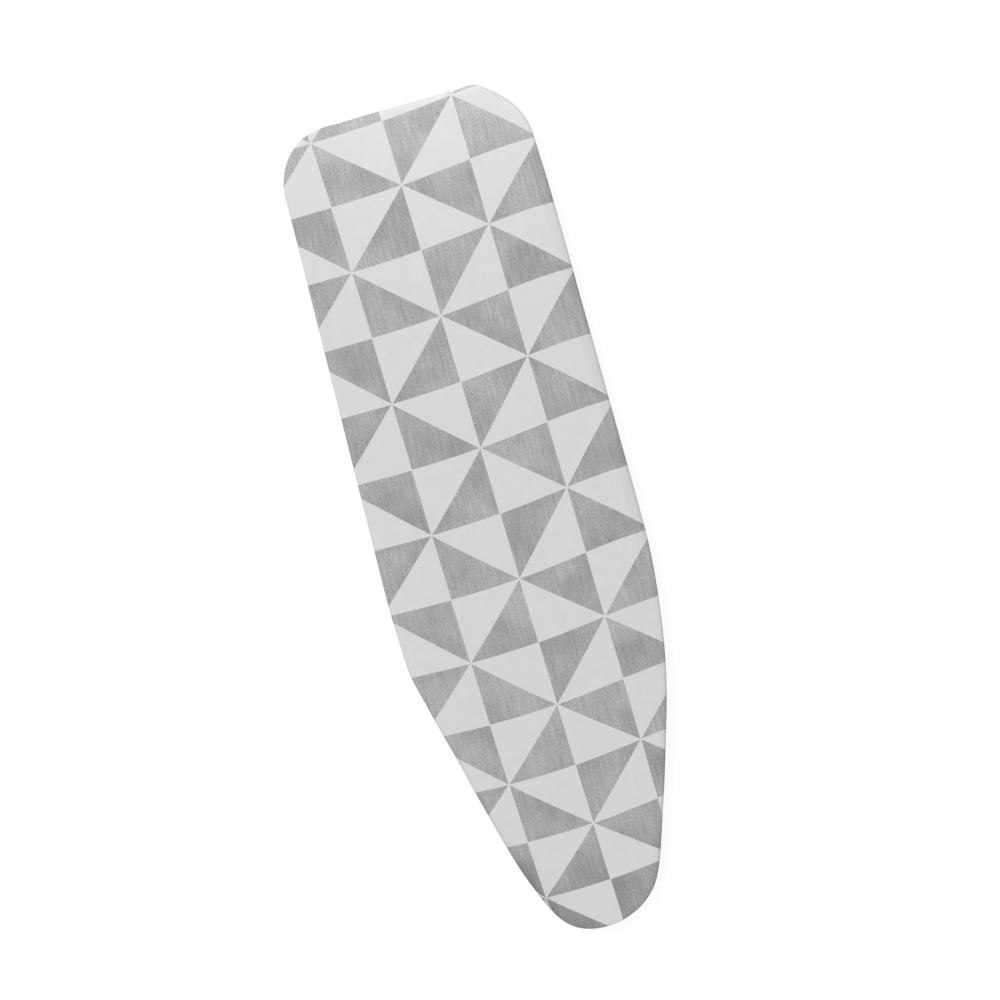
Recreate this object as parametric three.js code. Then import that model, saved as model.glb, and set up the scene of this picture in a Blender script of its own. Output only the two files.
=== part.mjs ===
// Fitted ironing board cover, drawn as it sits when it is pulled over a board.
// Printed cotton lies over foam and felt, is turned under all round, and ends in a folded
// binding that holds an elastic. Three straps close across the underside with hook and loop.
// Units are millimetres. +X runs from the square heel to the nose, +Z is the ironing side,
// and the cover rests on Z = 0.

import * as THREE from 'three';

// Outline seen from above, from the heel to the nose
const coverLength = 1200;
const heelHalfWidth = 181.3;
const heelCornerRadius = 88;
const sideFlareDegrees = 0.76;
const shoulderRadius = 845;
const taperDegrees = 15.7;
const taperRadius = 490;
const noseRadius = 90;
const noseArcDegrees = 64;

// Layers and the space that the board takes
const fabricThickness = 0.8;
const foamThickness = 5;
const feltThickness = 3;
const boardDepth = 22;
const fitGap = 0.3;

// Padded edge, where the top rolls over the rim of the board
const rollWidth = 24;
const rollHeight = 10;

// Turned-under skirt
const lowerEdgeChamfer = 6;
const skirtDepth = 52;
const puffInset = 27;
const puffDrop = 3.6;

// Binding and elastic round the hem
const bindingWidth = 14;
const bindingThickness = 0.8;
const bindingGrip = 4;
const bindingFoldChamfer = 0.6;
const elasticThickness = 0.8;
const elasticWidth = 8.2;

// Straps, from the heel edge to the middle of each strap
const strapReaches = { heel: 190, middle: 405, shoulder: 620 };
const strapWidth = 25;
const strapThickness = 1;
const strapRootLength = 13;
const strapDescent = 60;
const strapTipRadius = 8;
const strapTipPastTape = 4;
const hookThickness = 1.2;
const hookLength = 34;
const loopThickness = 1.2;
const loopLength = 36;
const tapeWidth = 21;
const tapeCornerRadius = 2;
const loopEdgeMargin = 2;

// Facets
const heelSteps = 2;
const heelCornerSteps = 12;
const sideSteps = 2;
const shoulderSteps = 3;
const taperLineSteps = 1;
const taperArcSteps = 2;
const noseSteps = 10;
const rollSteps = 3;
const tipSteps = 4;
const tapeCornerSteps = 3;

// Heights, worked out from the floor up
const strapTop = strapThickness;
const hookLow = strapTop + fitGap;
const loopLow = hookLow + hookThickness + fitGap;
const skirtLow = loopLow + loopThickness + fitGap;
const skirtTop = skirtLow + fabricThickness;
const bindingLow = skirtLow - fitGap - bindingThickness;
const bindingTop = skirtTop + fitGap + bindingThickness;
const rootTop = bindingLow - fitGap;
const rootLow = rootTop - strapThickness;
const feltLow = bindingTop + boardDepth;

// How deep each layer lies under the outer face of the fabric
const foamDepth = fabricThickness + fitGap;
const feltDepth = foamDepth + foamThickness + fitGap;
const boardFaceDepth = feltDepth + feltThickness;
const coverTop = feltLow + boardFaceDepth;
const rollLow = coverTop - rollHeight;

// Insets of the hem, measured in from the outline
const bindingStart = skirtDepth - bindingGrip;
const bindingEnd = bindingStart + bindingWidth;
const elasticStart = skirtDepth + fitGap;

const { degToRad } = THREE.MathUtils;

// A direction in the plan, turned from +X towards +Y
function headingVector(radians) {
  return new THREE.Vector2(Math.cos(radians), Math.sin(radians));
}

// Where two plan lines meet, each given by a point and a direction
function meetingPoint(pointA, directionA, pointB, directionB) {
  const across = directionA.cross(directionB);
  const along = pointB.clone().sub(pointA).cross(directionB) / across;
  return pointA.clone().addScaledVector(directionA, along);
}

// An arc that runs clockwise between two headings of its outward normal
function clockwiseArc(centre, radius, fromHeading, toHeading) {
  return new THREE.EllipseCurve(centre.x, centre.y, radius, radius, fromHeading, toHeading, true);
}

// A straight stretch between two plan points
function straight(from, to) {
  return new THREE.LineCurve(from, to);
}

// Half of the outline, from the middle of the heel to the tip of the nose, as tangent lines and arcs
function halfOutlineStretches() {
  const quarterTurn = Math.PI / 2;
  const flare = degToRad(sideFlareDegrees);
  const taper = degToRad(taperDegrees);
  const noseArc = degToRad(noseArcDegrees);
  const heelX = -coverLength / 2;
  const sideNormal = quarterTurn + flare;
  const taperNormal = quarterTurn - taper;

  const noseCentre = new THREE.Vector2(coverLength / 2 - noseRadius, 0);
  const taperCentre = noseCentre.clone().addScaledVector(headingVector(noseArc), noseRadius - taperRadius);
  const taperStart = taperCentre.clone().addScaledVector(headingVector(taperNormal), taperRadius);

  const heelEdge = new THREE.Vector2(heelX, heelHalfWidth);
  const sideDirection = headingVector(flare);
  const taperDirection = headingVector(-taper);
  const shoulder = meetingPoint(heelEdge, sideDirection, taperStart, taperDirection);
  const shoulderTrim = shoulderRadius * Math.tan((flare + taper) / 2);
  const shoulderStart = shoulder.clone().addScaledVector(sideDirection, -shoulderTrim);
  const shoulderEnd = shoulder.clone().addScaledVector(taperDirection, shoulderTrim);
  const shoulderCentre = shoulderStart.clone().addScaledVector(headingVector(sideNormal), -shoulderRadius);

  const heelTrim = heelCornerRadius * Math.tan((quarterTurn - flare) / 2);
  const heelCentre = new THREE.Vector2(heelX + heelCornerRadius, heelHalfWidth - heelTrim);
  const heelArcStart = new THREE.Vector2(heelX, heelCentre.y);
  const heelArcEnd = heelEdge.clone().addScaledVector(sideDirection, heelTrim);

  return [
    { curve: straight(new THREE.Vector2(heelX, 0), heelArcStart), steps: heelSteps, puffed: false },
    { curve: clockwiseArc(heelCentre, heelCornerRadius, Math.PI, sideNormal), steps: heelCornerSteps, puffed: true },
    { curve: straight(heelArcEnd, shoulderStart), steps: sideSteps, puffed: false },
    { curve: clockwiseArc(shoulderCentre, shoulderRadius, sideNormal, taperNormal), steps: shoulderSteps, puffed: false },
    { curve: straight(shoulderEnd, taperStart), steps: taperLineSteps, puffed: false },
    { curve: clockwiseArc(taperCentre, taperRadius, taperNormal, noseArc), steps: taperArcSteps, puffed: false },
    { curve: clockwiseArc(noseCentre, noseRadius, noseArc, 0), steps: noseSteps, puffed: true },
  ];
}

// Stations once round the outline, clockwise from above: a place, the way out, and how far the
// gathered skirt puffs down there
function outlineStations() {
  const half = [];
  for (const { curve, steps, puffed } of halfOutlineStretches()) {
    for (let step = 0; step < steps; step += 1) {
      const place = curve.getPoint(step / steps);
      const heading = curve.getTangent(step / steps);
      half.push({ place, out: new THREE.Vector2(-heading.y, heading.x), puff: puffed ? step % 2 : 0 });
    }
  }
  const tip = { place: new THREE.Vector2(coverLength / 2, 0), out: new THREE.Vector2(1, 0), puff: 0 };
  const otherHalf = half.slice(1).reverse().map(({ place, out, puff }) => ({
    place: new THREE.Vector2(place.x, -place.y),
    out: new THREE.Vector2(out.x, -out.y),
    puff,
  }));
  return [...half, tip, ...otherHalf];
}

const stations = outlineStations();

// Half the width of the outline at a distance along X, read off the stations of the +Y side
function halfWidthAt(x) {
  const side = stations.filter(({ place }) => place.y >= 0);
  const next = side.findIndex(({ place }) => place.x > x);
  const before = side[next - 1].place;
  const after = side[next].place;
  return THREE.MathUtils.mapLinear(x, before.x, after.x, before.y, after.y);
}

// A closed body from its corners and faces
function bodyFrom(corners, faces) {
  const geometry = new THREE.BufferGeometry();
  geometry.setAttribute('position', new THREE.Float32BufferAttribute(corners, 3));
  geometry.setIndex(faces);
  geometry.computeVertexNormals();
  return geometry;
}

// Two triangles between two rows of corners. The same diagonal is kept on both faces of a sheet,
// so that its thickness holds where it is puffed.
function joinCorners(faces, upper, nextUpper, nextLower, lower, runsInward) {
  if (runsInward) {
    faces.push(upper, nextUpper, nextLower, upper, nextLower, lower);
  } else {
    faces.push(upper, nextUpper, lower, nextUpper, nextLower, lower);
  }
}

// Triangles of one row seen as a flat face, turned to look up or down
function closeRow(faces, corners, firstCorner, facesUp) {
  const contour = stations.map((_, index) => {
    const at = (firstCorner + index) * 3;
    return new THREE.Vector2(corners[at], corners[at + 1]);
  });
  for (const [a, b, c] of THREE.ShapeUtils.triangulateShape(contour, [])) {
    const turn = contour[b].clone().sub(contour[a]).cross(contour[c].clone().sub(contour[a]));
    const face = [firstCorner + a, firstCorner + b, firstCorner + c];
    faces.push(...((turn > 0) === facesUp ? face : face.reverse()));
  }
}

// A layer carried once round the outline. Each row of its profile has an inset from the outline,
// a height, and a share of the puffs. A capped layer is closed flat across its first and last
// rows, and an uncapped one is a ring whose last row meets its first.
function wrapProfile(profile, capped) {
  const corners = [];
  for (const { inset, height, puffShare = 0 } of profile) {
    for (const { place, out, puff } of stations) {
      const corner = place.clone().addScaledVector(out, -inset);
      corners.push(corner.x, corner.y, height - puffDrop * puffShare * puff);
    }
  }
  const faces = [];
  const rows = profile.length;
  const around = stations.length;
  const strips = capped ? rows - 1 : rows;
  for (let row = 0; row < strips; row += 1) {
    const below = (row + 1) % rows;
    const runsInward = profile[below].inset > profile[row].inset;
    for (let index = 0; index < around; index += 1) {
      const next = (index + 1) % around;
      const upper = row * around;
      const lower = below * around;
      joinCorners(faces, upper + index, upper + next, lower + next, lower + index, runsInward);
    }
  }
  if (capped) {
    closeRow(faces, corners, 0, true);
    closeRow(faces, corners, (rows - 1) * around, false);
  }
  return bodyFrom(corners, faces);
}

// The rolled edge at a depth under the outer face: a quarter ellipse from the flat top to the side.
// Every layer shares its centre, and its half axes shrink by the depth.
function rolledEdge(depth) {
  return Array.from({ length: rollSteps + 1 }, (_, step) => {
    const turn = (step / rollSteps) * (Math.PI / 2);
    return {
      inset: rollWidth - (rollWidth - depth) * Math.sin(turn),
      height: rollLow + (rollHeight - depth) * Math.cos(turn),
    };
  });
}

// Printed cotton: the top, its rolled edge, the side, and the skirt turned under and gathered
function coverFabricGeometry() {
  const innerChamfer = lowerEdgeChamfer + fabricThickness * Math.tan(Math.PI / 8);
  return wrapProfile([
    ...rolledEdge(0),
    { inset: 0, height: skirtLow + lowerEdgeChamfer },
    { inset: lowerEdgeChamfer, height: skirtLow },
    { inset: puffInset, height: skirtLow, puffShare: 1 },
    { inset: bindingStart, height: skirtLow },
    { inset: skirtDepth, height: skirtLow },
    { inset: skirtDepth, height: skirtTop },
    { inset: bindingStart, height: skirtTop },
    { inset: puffInset, height: skirtTop, puffShare: 1 },
    { inset: innerChamfer, height: skirtTop },
    { inset: fabricThickness, height: skirtLow + innerChamfer },
    ...rolledEdge(fabricThickness).reverse(),
  ], true);
}

// Foam: a sheet that lies under the top and bends down round the rim of the board
function foamPadGeometry() {
  return wrapProfile([
    ...rolledEdge(foamDepth),
    ...rolledEdge(foamDepth + foamThickness).reverse(),
  ], true);
}

// Felt: the layer that lies on the board and takes up the pattern of its mesh
function feltPadGeometry() {
  return wrapProfile([
    ...rolledEdge(feltDepth),
    ...rolledEdge(boardFaceDepth).reverse(),
  ], true);
}

// Binding: a strip folded over the raw edge of the skirt, with its fold towards the middle
function hemBindingGeometry() {
  const foldInside = bindingEnd - bindingThickness;
  const foldShoulder = bindingEnd - bindingFoldChamfer;
  return wrapProfile([
    { inset: bindingStart, height: bindingTop - bindingThickness },
    { inset: bindingStart, height: bindingTop },
    { inset: foldShoulder, height: bindingTop },
    { inset: bindingEnd, height: bindingTop - bindingFoldChamfer },
    { inset: bindingEnd, height: bindingLow + bindingFoldChamfer },
    { inset: foldShoulder, height: bindingLow },
    { inset: bindingStart, height: bindingLow },
    { inset: bindingStart, height: bindingLow + bindingThickness },
    { inset: foldInside, height: bindingLow + bindingThickness },
    { inset: foldInside, height: bindingTop - bindingThickness },
  ].reverse(), false);
}

// Elastic: one flat band that runs round the hem inside the fold of the binding
function hemElasticGeometry() {
  const middle = (bindingLow + bindingTop) / 2;
  const high = middle + elasticThickness / 2;
  const low = middle - elasticThickness / 2;
  return wrapProfile([
    { inset: elasticStart, height: high },
    { inset: elasticStart, height: low },
    { inset: elasticStart + elasticWidth, height: low },
    { inset: elasticStart + elasticWidth, height: high },
  ], false);
}

// Webbing that runs along +Y: each station has a place, half a width and the height of its lower
// face. It is one strip of even thickness with square edges.
function webbingGeometry(run, centreX, thickness) {
  const corners = [];
  for (const { y, halfWidth, low } of run) {
    corners.push(centreX - halfWidth, y, low, centreX + halfWidth, y, low);
    corners.push(centreX + halfWidth, y, low + thickness, centreX - halfWidth, y, low + thickness);
  }
  const faces = [];
  const around = 4;
  for (let row = 0; row < run.length - 1; row += 1) {
    for (let index = 0; index < around; index += 1) {
      const next = (index + 1) % around;
      const here = row * around;
      const there = here + around;
      faces.push(here + index, there + next, here + next, here + index, there + index, there + next);
    }
  }
  const last = (run.length - 1) * around;
  faces.push(0, 1, 2, 0, 2, 3);
  faces.push(last, last + 2, last + 1, last, last + 3, last + 2);
  return bodyFrom(corners, faces);
}

// The run of a strap from its fold at the hem to its rounded tip
function strapRun(startY, endY) {
  const halfWidth = strapWidth / 2;
  const tipStart = endY - strapTipRadius;
  const run = [
    { y: startY, halfWidth, low: rootLow },
    { y: startY + strapDescent, halfWidth, low: 0 },
  ];
  for (let step = 0; step <= tipSteps; step += 1) {
    const turn = (step / tipSteps) * (Math.PI / 2);
    run.push({
      y: tipStart + strapTipRadius * Math.sin(turn),
      halfWidth: halfWidth - strapTipRadius * (1 - Math.cos(turn)),
      low: 0,
    });
  }
  return run;
}

// A rectangle of tape with rounded corners, centred on a place, with its lower face at a height
function tapeGeometry(length, thickness, centreX, centreY, low) {
  const halfWidth = tapeWidth / 2;
  const halfLength = length / 2;
  const radius = tapeCornerRadius;
  const outline = new THREE.Shape();
  outline.absarc(halfWidth - radius, halfLength - radius, radius, 0, Math.PI / 2);
  outline.absarc(radius - halfWidth, halfLength - radius, radius, Math.PI / 2, Math.PI);
  outline.absarc(radius - halfWidth, radius - halfLength, radius, Math.PI, Math.PI * 3 / 2);
  outline.absarc(halfWidth - radius, radius - halfLength, radius, Math.PI * 3 / 2, Math.PI * 2);
  outline.closePath();
  const settings = { depth: thickness, bevelEnabled: false, curveSegments: tapeCornerSteps };
  return new THREE.ExtrudeGeometry(outline, settings).translate(centreX, centreY, low);
}

// Finishes
const finishes = {
  printedCotton: { color: 0xd9d8da, roughness: 0.82, metalness: 0 },
  foam: { color: 0xe6dfc8, roughness: 0.95, metalness: 0 },
  felt: { color: 0xb9b7b3, roughness: 1, metalness: 0 },
  binding: { color: 0xf0efed, roughness: 0.85, metalness: 0 },
  elastic: { color: 0xf6f6f4, roughness: 0.7, metalness: 0 },
  hook: { color: 0xe2e2e0, roughness: 0.55, metalness: 0 },
  loop: { color: 0xeaeae8, roughness: 0.95, metalness: 0 },
};

// A named piece with a finish of its own
function piece(name, geometry, finish) {
  const mesh = new THREE.Mesh(geometry, new THREE.MeshStandardMaterial(finish));
  mesh.name = name;
  return mesh;
}

// One strap: its sewn root, the band that swings from the hem, the hook tape on the band, and the
// loop patch on the far skirt that the hook tape closes on
function strapPieces(place, reach) {
  const x = reach - coverLength / 2;
  const sideY = halfWidthAt(x);
  const foldY = bindingEnd - sideY;
  const loopY = sideY - bindingStart + loopEdgeMargin + loopLength / 2;
  const tipY = loopY + hookLength / 2 + strapTipPastTape;
  const rootRun = [
    { y: foldY - fitGap - strapRootLength, halfWidth: strapWidth / 2, low: rootLow },
    { y: foldY - fitGap, halfWidth: strapWidth / 2, low: rootLow },
  ];
  const group = new THREE.Group();
  group.add(piece(`strap_root_${place}`, webbingGeometry(rootRun, x, strapThickness), finishes.elastic));
  group.add(piece(`strap_band_${place}`, webbingGeometry(strapRun(foldY, tipY), x, strapThickness), finishes.elastic));
  group.add(piece(`hook_tape_${place}`, tapeGeometry(hookLength, hookThickness, x, loopY, hookLow), finishes.hook));
  group.add(piece(`loop_patch_${place}`, tapeGeometry(loopLength, loopThickness, x, loopY, loopLow), finishes.loop));
  return group;
}

const ironingBoardCover = new THREE.Group();
ironingBoardCover.add(piece('cover_fabric', coverFabricGeometry(), finishes.printedCotton));
ironingBoardCover.add(piece('foam_pad', foamPadGeometry(), finishes.foam));
ironingBoardCover.add(piece('felt_pad', feltPadGeometry(), finishes.felt));
ironingBoardCover.add(piece('hem_binding', hemBindingGeometry(), finishes.binding));
ironingBoardCover.add(piece('hem_elastic', hemElasticGeometry(), finishes.elastic));
for (const [place, reach] of Object.entries(strapReaches)) {
  ironingBoardCover.add(strapPieces(place, reach));
}

export default ironingBoardCover;
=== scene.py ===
"""Fitted ironing board cover with a two-tone pinwheel print, seen from straight above.

Lengths are metres. +X runs from the square heel to the nose, +Z is the ironing side, and the
cover rests on Z = 0, as it sits when it is pulled over a board.
"""

import logging
import math
from dataclasses import dataclass, field, replace
from enum import Enum
from functools import cache

import bpy
import numpy as np
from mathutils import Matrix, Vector


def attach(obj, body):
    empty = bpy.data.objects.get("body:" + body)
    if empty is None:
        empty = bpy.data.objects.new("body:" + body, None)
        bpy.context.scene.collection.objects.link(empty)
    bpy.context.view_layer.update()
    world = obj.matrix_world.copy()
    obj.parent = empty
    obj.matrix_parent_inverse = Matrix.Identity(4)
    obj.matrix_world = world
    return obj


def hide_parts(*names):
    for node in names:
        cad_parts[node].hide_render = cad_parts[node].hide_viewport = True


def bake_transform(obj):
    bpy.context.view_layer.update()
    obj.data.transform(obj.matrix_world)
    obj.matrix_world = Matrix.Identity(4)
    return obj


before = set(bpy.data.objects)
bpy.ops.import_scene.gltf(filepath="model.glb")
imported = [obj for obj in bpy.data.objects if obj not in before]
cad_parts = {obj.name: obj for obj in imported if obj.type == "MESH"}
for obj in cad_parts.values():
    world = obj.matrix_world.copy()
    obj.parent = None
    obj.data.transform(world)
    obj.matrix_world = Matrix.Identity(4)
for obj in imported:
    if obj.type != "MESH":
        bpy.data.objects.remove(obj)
LOG = logging.getLogger("ironing_board_cover")
MM = 0.001
FULL_TURN = 2 * math.pi
QUARTER_TURN = math.pi / 2
PATTERN_MAP = "cloth"

Socket = bpy.types.NodeSocket
Value = float | Socket
Colour = tuple[float, float, float]


# Meshes


def linked(name: str, data: bpy.types.ID) -> bpy.types.Object:
    """A new object of the scene that holds the data."""
    thing = bpy.data.objects.new(name, data)
    bpy.context.scene.collection.objects.link(thing)
    return thing


@dataclass
class Surface:
    """A closed surface before it becomes a mesh.

    Attributes:
        points: Corner places, one row of three for each.
        quads: Corner numbers of the four-sided faces.
        triangles: Corner numbers of the three-sided faces.
        pattern: Pattern coordinates of each corner, in metres, or None.
        around: Length after which the first pattern coordinate starts again, or 0.
    """

    points: np.ndarray
    quads: np.ndarray
    triangles: np.ndarray = field(default_factory=lambda: np.zeros((0, 3), int))
    pattern: np.ndarray | None = None
    around: float = 0.0

    def outward(self) -> "Surface":
        """Turns the faces to point outwards, by the sign of the volume: the sum of
        a . (b x c) / 6 over the triangles of every face.

        Returns:
            This surface, or one with its faces turned over.
        """
        split = np.vstack([self.quads[:, [0, 1, 2]], self.quads[:, [0, 2, 3]], self.triangles])
        a, b, c = (self.points[split[:, k]] for k in range(3))
        if np.einsum("ij,ij->i", a, np.cross(b, c)).sum() >= 0:
            return self
        return replace(self, quads=self.quads[:, ::-1], triangles=self.triangles[:, ::-1])

    def corner_pattern(self, faces: np.ndarray) -> np.ndarray:
        """Pattern coordinates of each face's corners, kept whole across the closing seam.

        Args:
            faces: Corner numbers of faces that all have the same number of corners.

        Returns:
            One pair of coordinates for each corner of each face, flattened.
        """
        pairs = self.pattern[faces]
        if self.around:
            first = pairs[..., 0]
            wraps = (first.max(axis=1) - first.min(axis=1)) > self.around / 2
            low = first < self.around / 2
            pairs[..., 0] = first + self.around * (wraps[:, None] & low)
        return pairs.reshape(-1)

    def build(self, name: str, material: bpy.types.Material) -> bpy.types.Object:
        """Puts the surface into a smooth mesh object whose faces point outwards.

        Args:
            name: Name of the object.
            material: Material of all its faces.

        Returns:
            The new object, at the origin.
        """
        turned = self.outward()
        faces = (turned.quads, turned.triangles)
        mesh = bpy.data.meshes.new(name)
        mesh.from_pydata(turned.points.tolist(), [], faces[0].tolist() + faces[1].tolist())
        if self.pattern is not None:
            layer = mesh.uv_layers.new(name=PATTERN_MAP)
            layer.data.foreach_set("uv", np.concatenate([self.corner_pattern(kind) for kind in faces]))
        mesh.shade_smooth()
        mesh.materials.append(material)
        LOG.info("%s: %d faces", name, len(mesh.polygons))
        return linked(name, mesh)


def closed_rows(rows: int, columns: int, rows_close: bool = False) -> np.ndarray:
    """Quads of a grid whose columns close into a ring.

    Args:
        rows: Number of rows.
        columns: Number of columns.
        rows_close: Whether the last row joins the first one too.

    Returns:
        Corner numbers, row by row, of the faces between neighbouring rows.
    """
    row = np.arange(rows if rows_close else rows - 1)[:, None] * columns
    below = (row + columns) % (rows * columns)
    column = np.arange(columns)[None, :]
    beside = (column + 1) % columns
    corners = [row + column, row + beside, below + beside, below + column]
    return np.stack(np.broadcast_arrays(*corners), axis=-1).reshape(-1, 4)


def end_fans(rows: int, columns: int) -> np.ndarray:
    """Triangles that close the first and the last row of a grid whose columns form a ring, each
    with its own pole. The two poles are the corners after the grid's.

    Args:
        rows: Number of rows.
        columns: Number of columns.

    Returns:
        Corner numbers of the triangles.
    """
    here = np.arange(columns)
    beside = (here + 1) % columns
    last = (rows - 1) * columns
    pole = np.full(columns, rows * columns)
    first_fan = np.stack([pole, beside, here], axis=1)
    last_fan = np.stack([pole + 1, last + here, last + beside], axis=1)
    return np.concatenate([first_fan, last_fan])


def tube_bundle(paths: np.ndarray, radii: np.ndarray, side: np.ndarray, sides: int) -> Surface:
    """Many thin closed tubes at once, each carried along a flat path.

    A point is path + radius * (normal * cos(turn) + side * sin(turn)), where the normal is the
    path's direction crossed with the side. A pole closes each end.

    Args:
        paths: Tube, step, place: an array of three axes.
        radii: Radius at each step.
        side: The unit vector square to each tube's plane.
        sides: Number of corners round a tube.

    Returns:
        The surface of all the tubes.
    """
    tubes, steps, _ = paths.shape
    along = np.gradient(paths, axis=1)
    along /= np.linalg.norm(along, axis=2, keepdims=True)
    normal = np.cross(along, side[:, None, :])
    turn = (np.arange(sides) * (FULL_TURN / sides))[:, None]
    ring = normal[:, :, None, :] * np.cos(turn) + side[:, None, None, :] * np.sin(turn)
    rings = (paths[:, :, None, :] + radii[:, None, None] * ring).reshape(tubes, -1, 3)
    points = np.concatenate([rings, paths[:, :1], paths[:, -1:]], axis=1)
    offset = (np.arange(tubes) * points.shape[1])[:, None, None]
    quads = closed_rows(steps, sides)[None] + offset
    fans = end_fans(steps, sides)[None] + offset
    return Surface(points.reshape(-1, 3), quads.reshape(-1, 4), fans.reshape(-1, 3))


def stitch_row(line: np.ndarray, pitch: float, length: float, thread: float) -> Surface:
    """Stitches laid along a closed line, each a short straight thread that is thin at its ends.

    With t from -1 to 1 along a stitch, its radius is half the thread times (1 - t^4) ^ 0.5.

    Args:
        line: Places along the line, in order, with the first one not repeated at the end.
        pitch: Length from one stitch to the next.
        length: Length of one stitch.
        thread: Thickness of the thread.

    Returns:
        The surface of all the stitches.
    """
    line = np.concatenate([line, line[:1]])
    run = np.concatenate([[0.0], np.cumsum(np.linalg.norm(np.diff(line, axis=0), axis=1))])
    count = round(run[-1] / pitch)
    middle = (np.arange(count) + 0.5) * run[-1] / count
    share = np.array([-1.0, -0.88, -0.5, 0.0, 0.5, 0.88, 1.0])
    reach = middle[:, None] + share[None] * (length / 2)
    paths = np.stack([np.interp(reach, run, line[:, axis]) for axis in range(3)], axis=2)
    side = np.cross(paths[:, -1] - paths[:, 0], (0.0, 0.0, 1.0))
    side /= np.linalg.norm(side, axis=1, keepdims=True)
    radii = thread / 2 * np.sqrt(np.clip(1 - share**4, 0.04, 1))
    return tube_bundle(paths, radii, side, 6)


def merged(*surfaces: Surface) -> Surface:
    """Several surfaces without pattern coordinates as one, each with its faces outwards."""
    parts = [surface.outward() for surface in surfaces]
    starts = np.cumsum([0] + [len(part.points) for part in parts[:-1]])
    return Surface(
        np.concatenate([part.points for part in parts]),
        np.concatenate([part.quads + start for part, start in zip(parts, starts)]),
        np.concatenate([part.triangles + start for part, start in zip(parts, starts)]),
    )


def dress(thing: bpy.types.Object, body: str, slot: str, *nodes: str) -> bpy.types.Object:
    """Puts a piece on its body and hides the nodes that it stands for.

    Args:
        thing: The piece.
        body: The body that it moves with.
        slot: Its material slot; not used.
        *nodes: The nodes that it replaces, if any.

    Returns:
        The piece.
    """
    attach(thing, body)
    if nodes:
        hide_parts(*nodes)
    return thing


def smooth_step(value: np.ndarray, low: float, high: float) -> np.ndarray:
    """0 below low and 1 above high, with 3t^2 - 2t^3 between them."""
    share = np.clip((value - low) / (high - low), 0, 1)
    return share * share * (3 - 2 * share)


# Shader nodes


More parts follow.
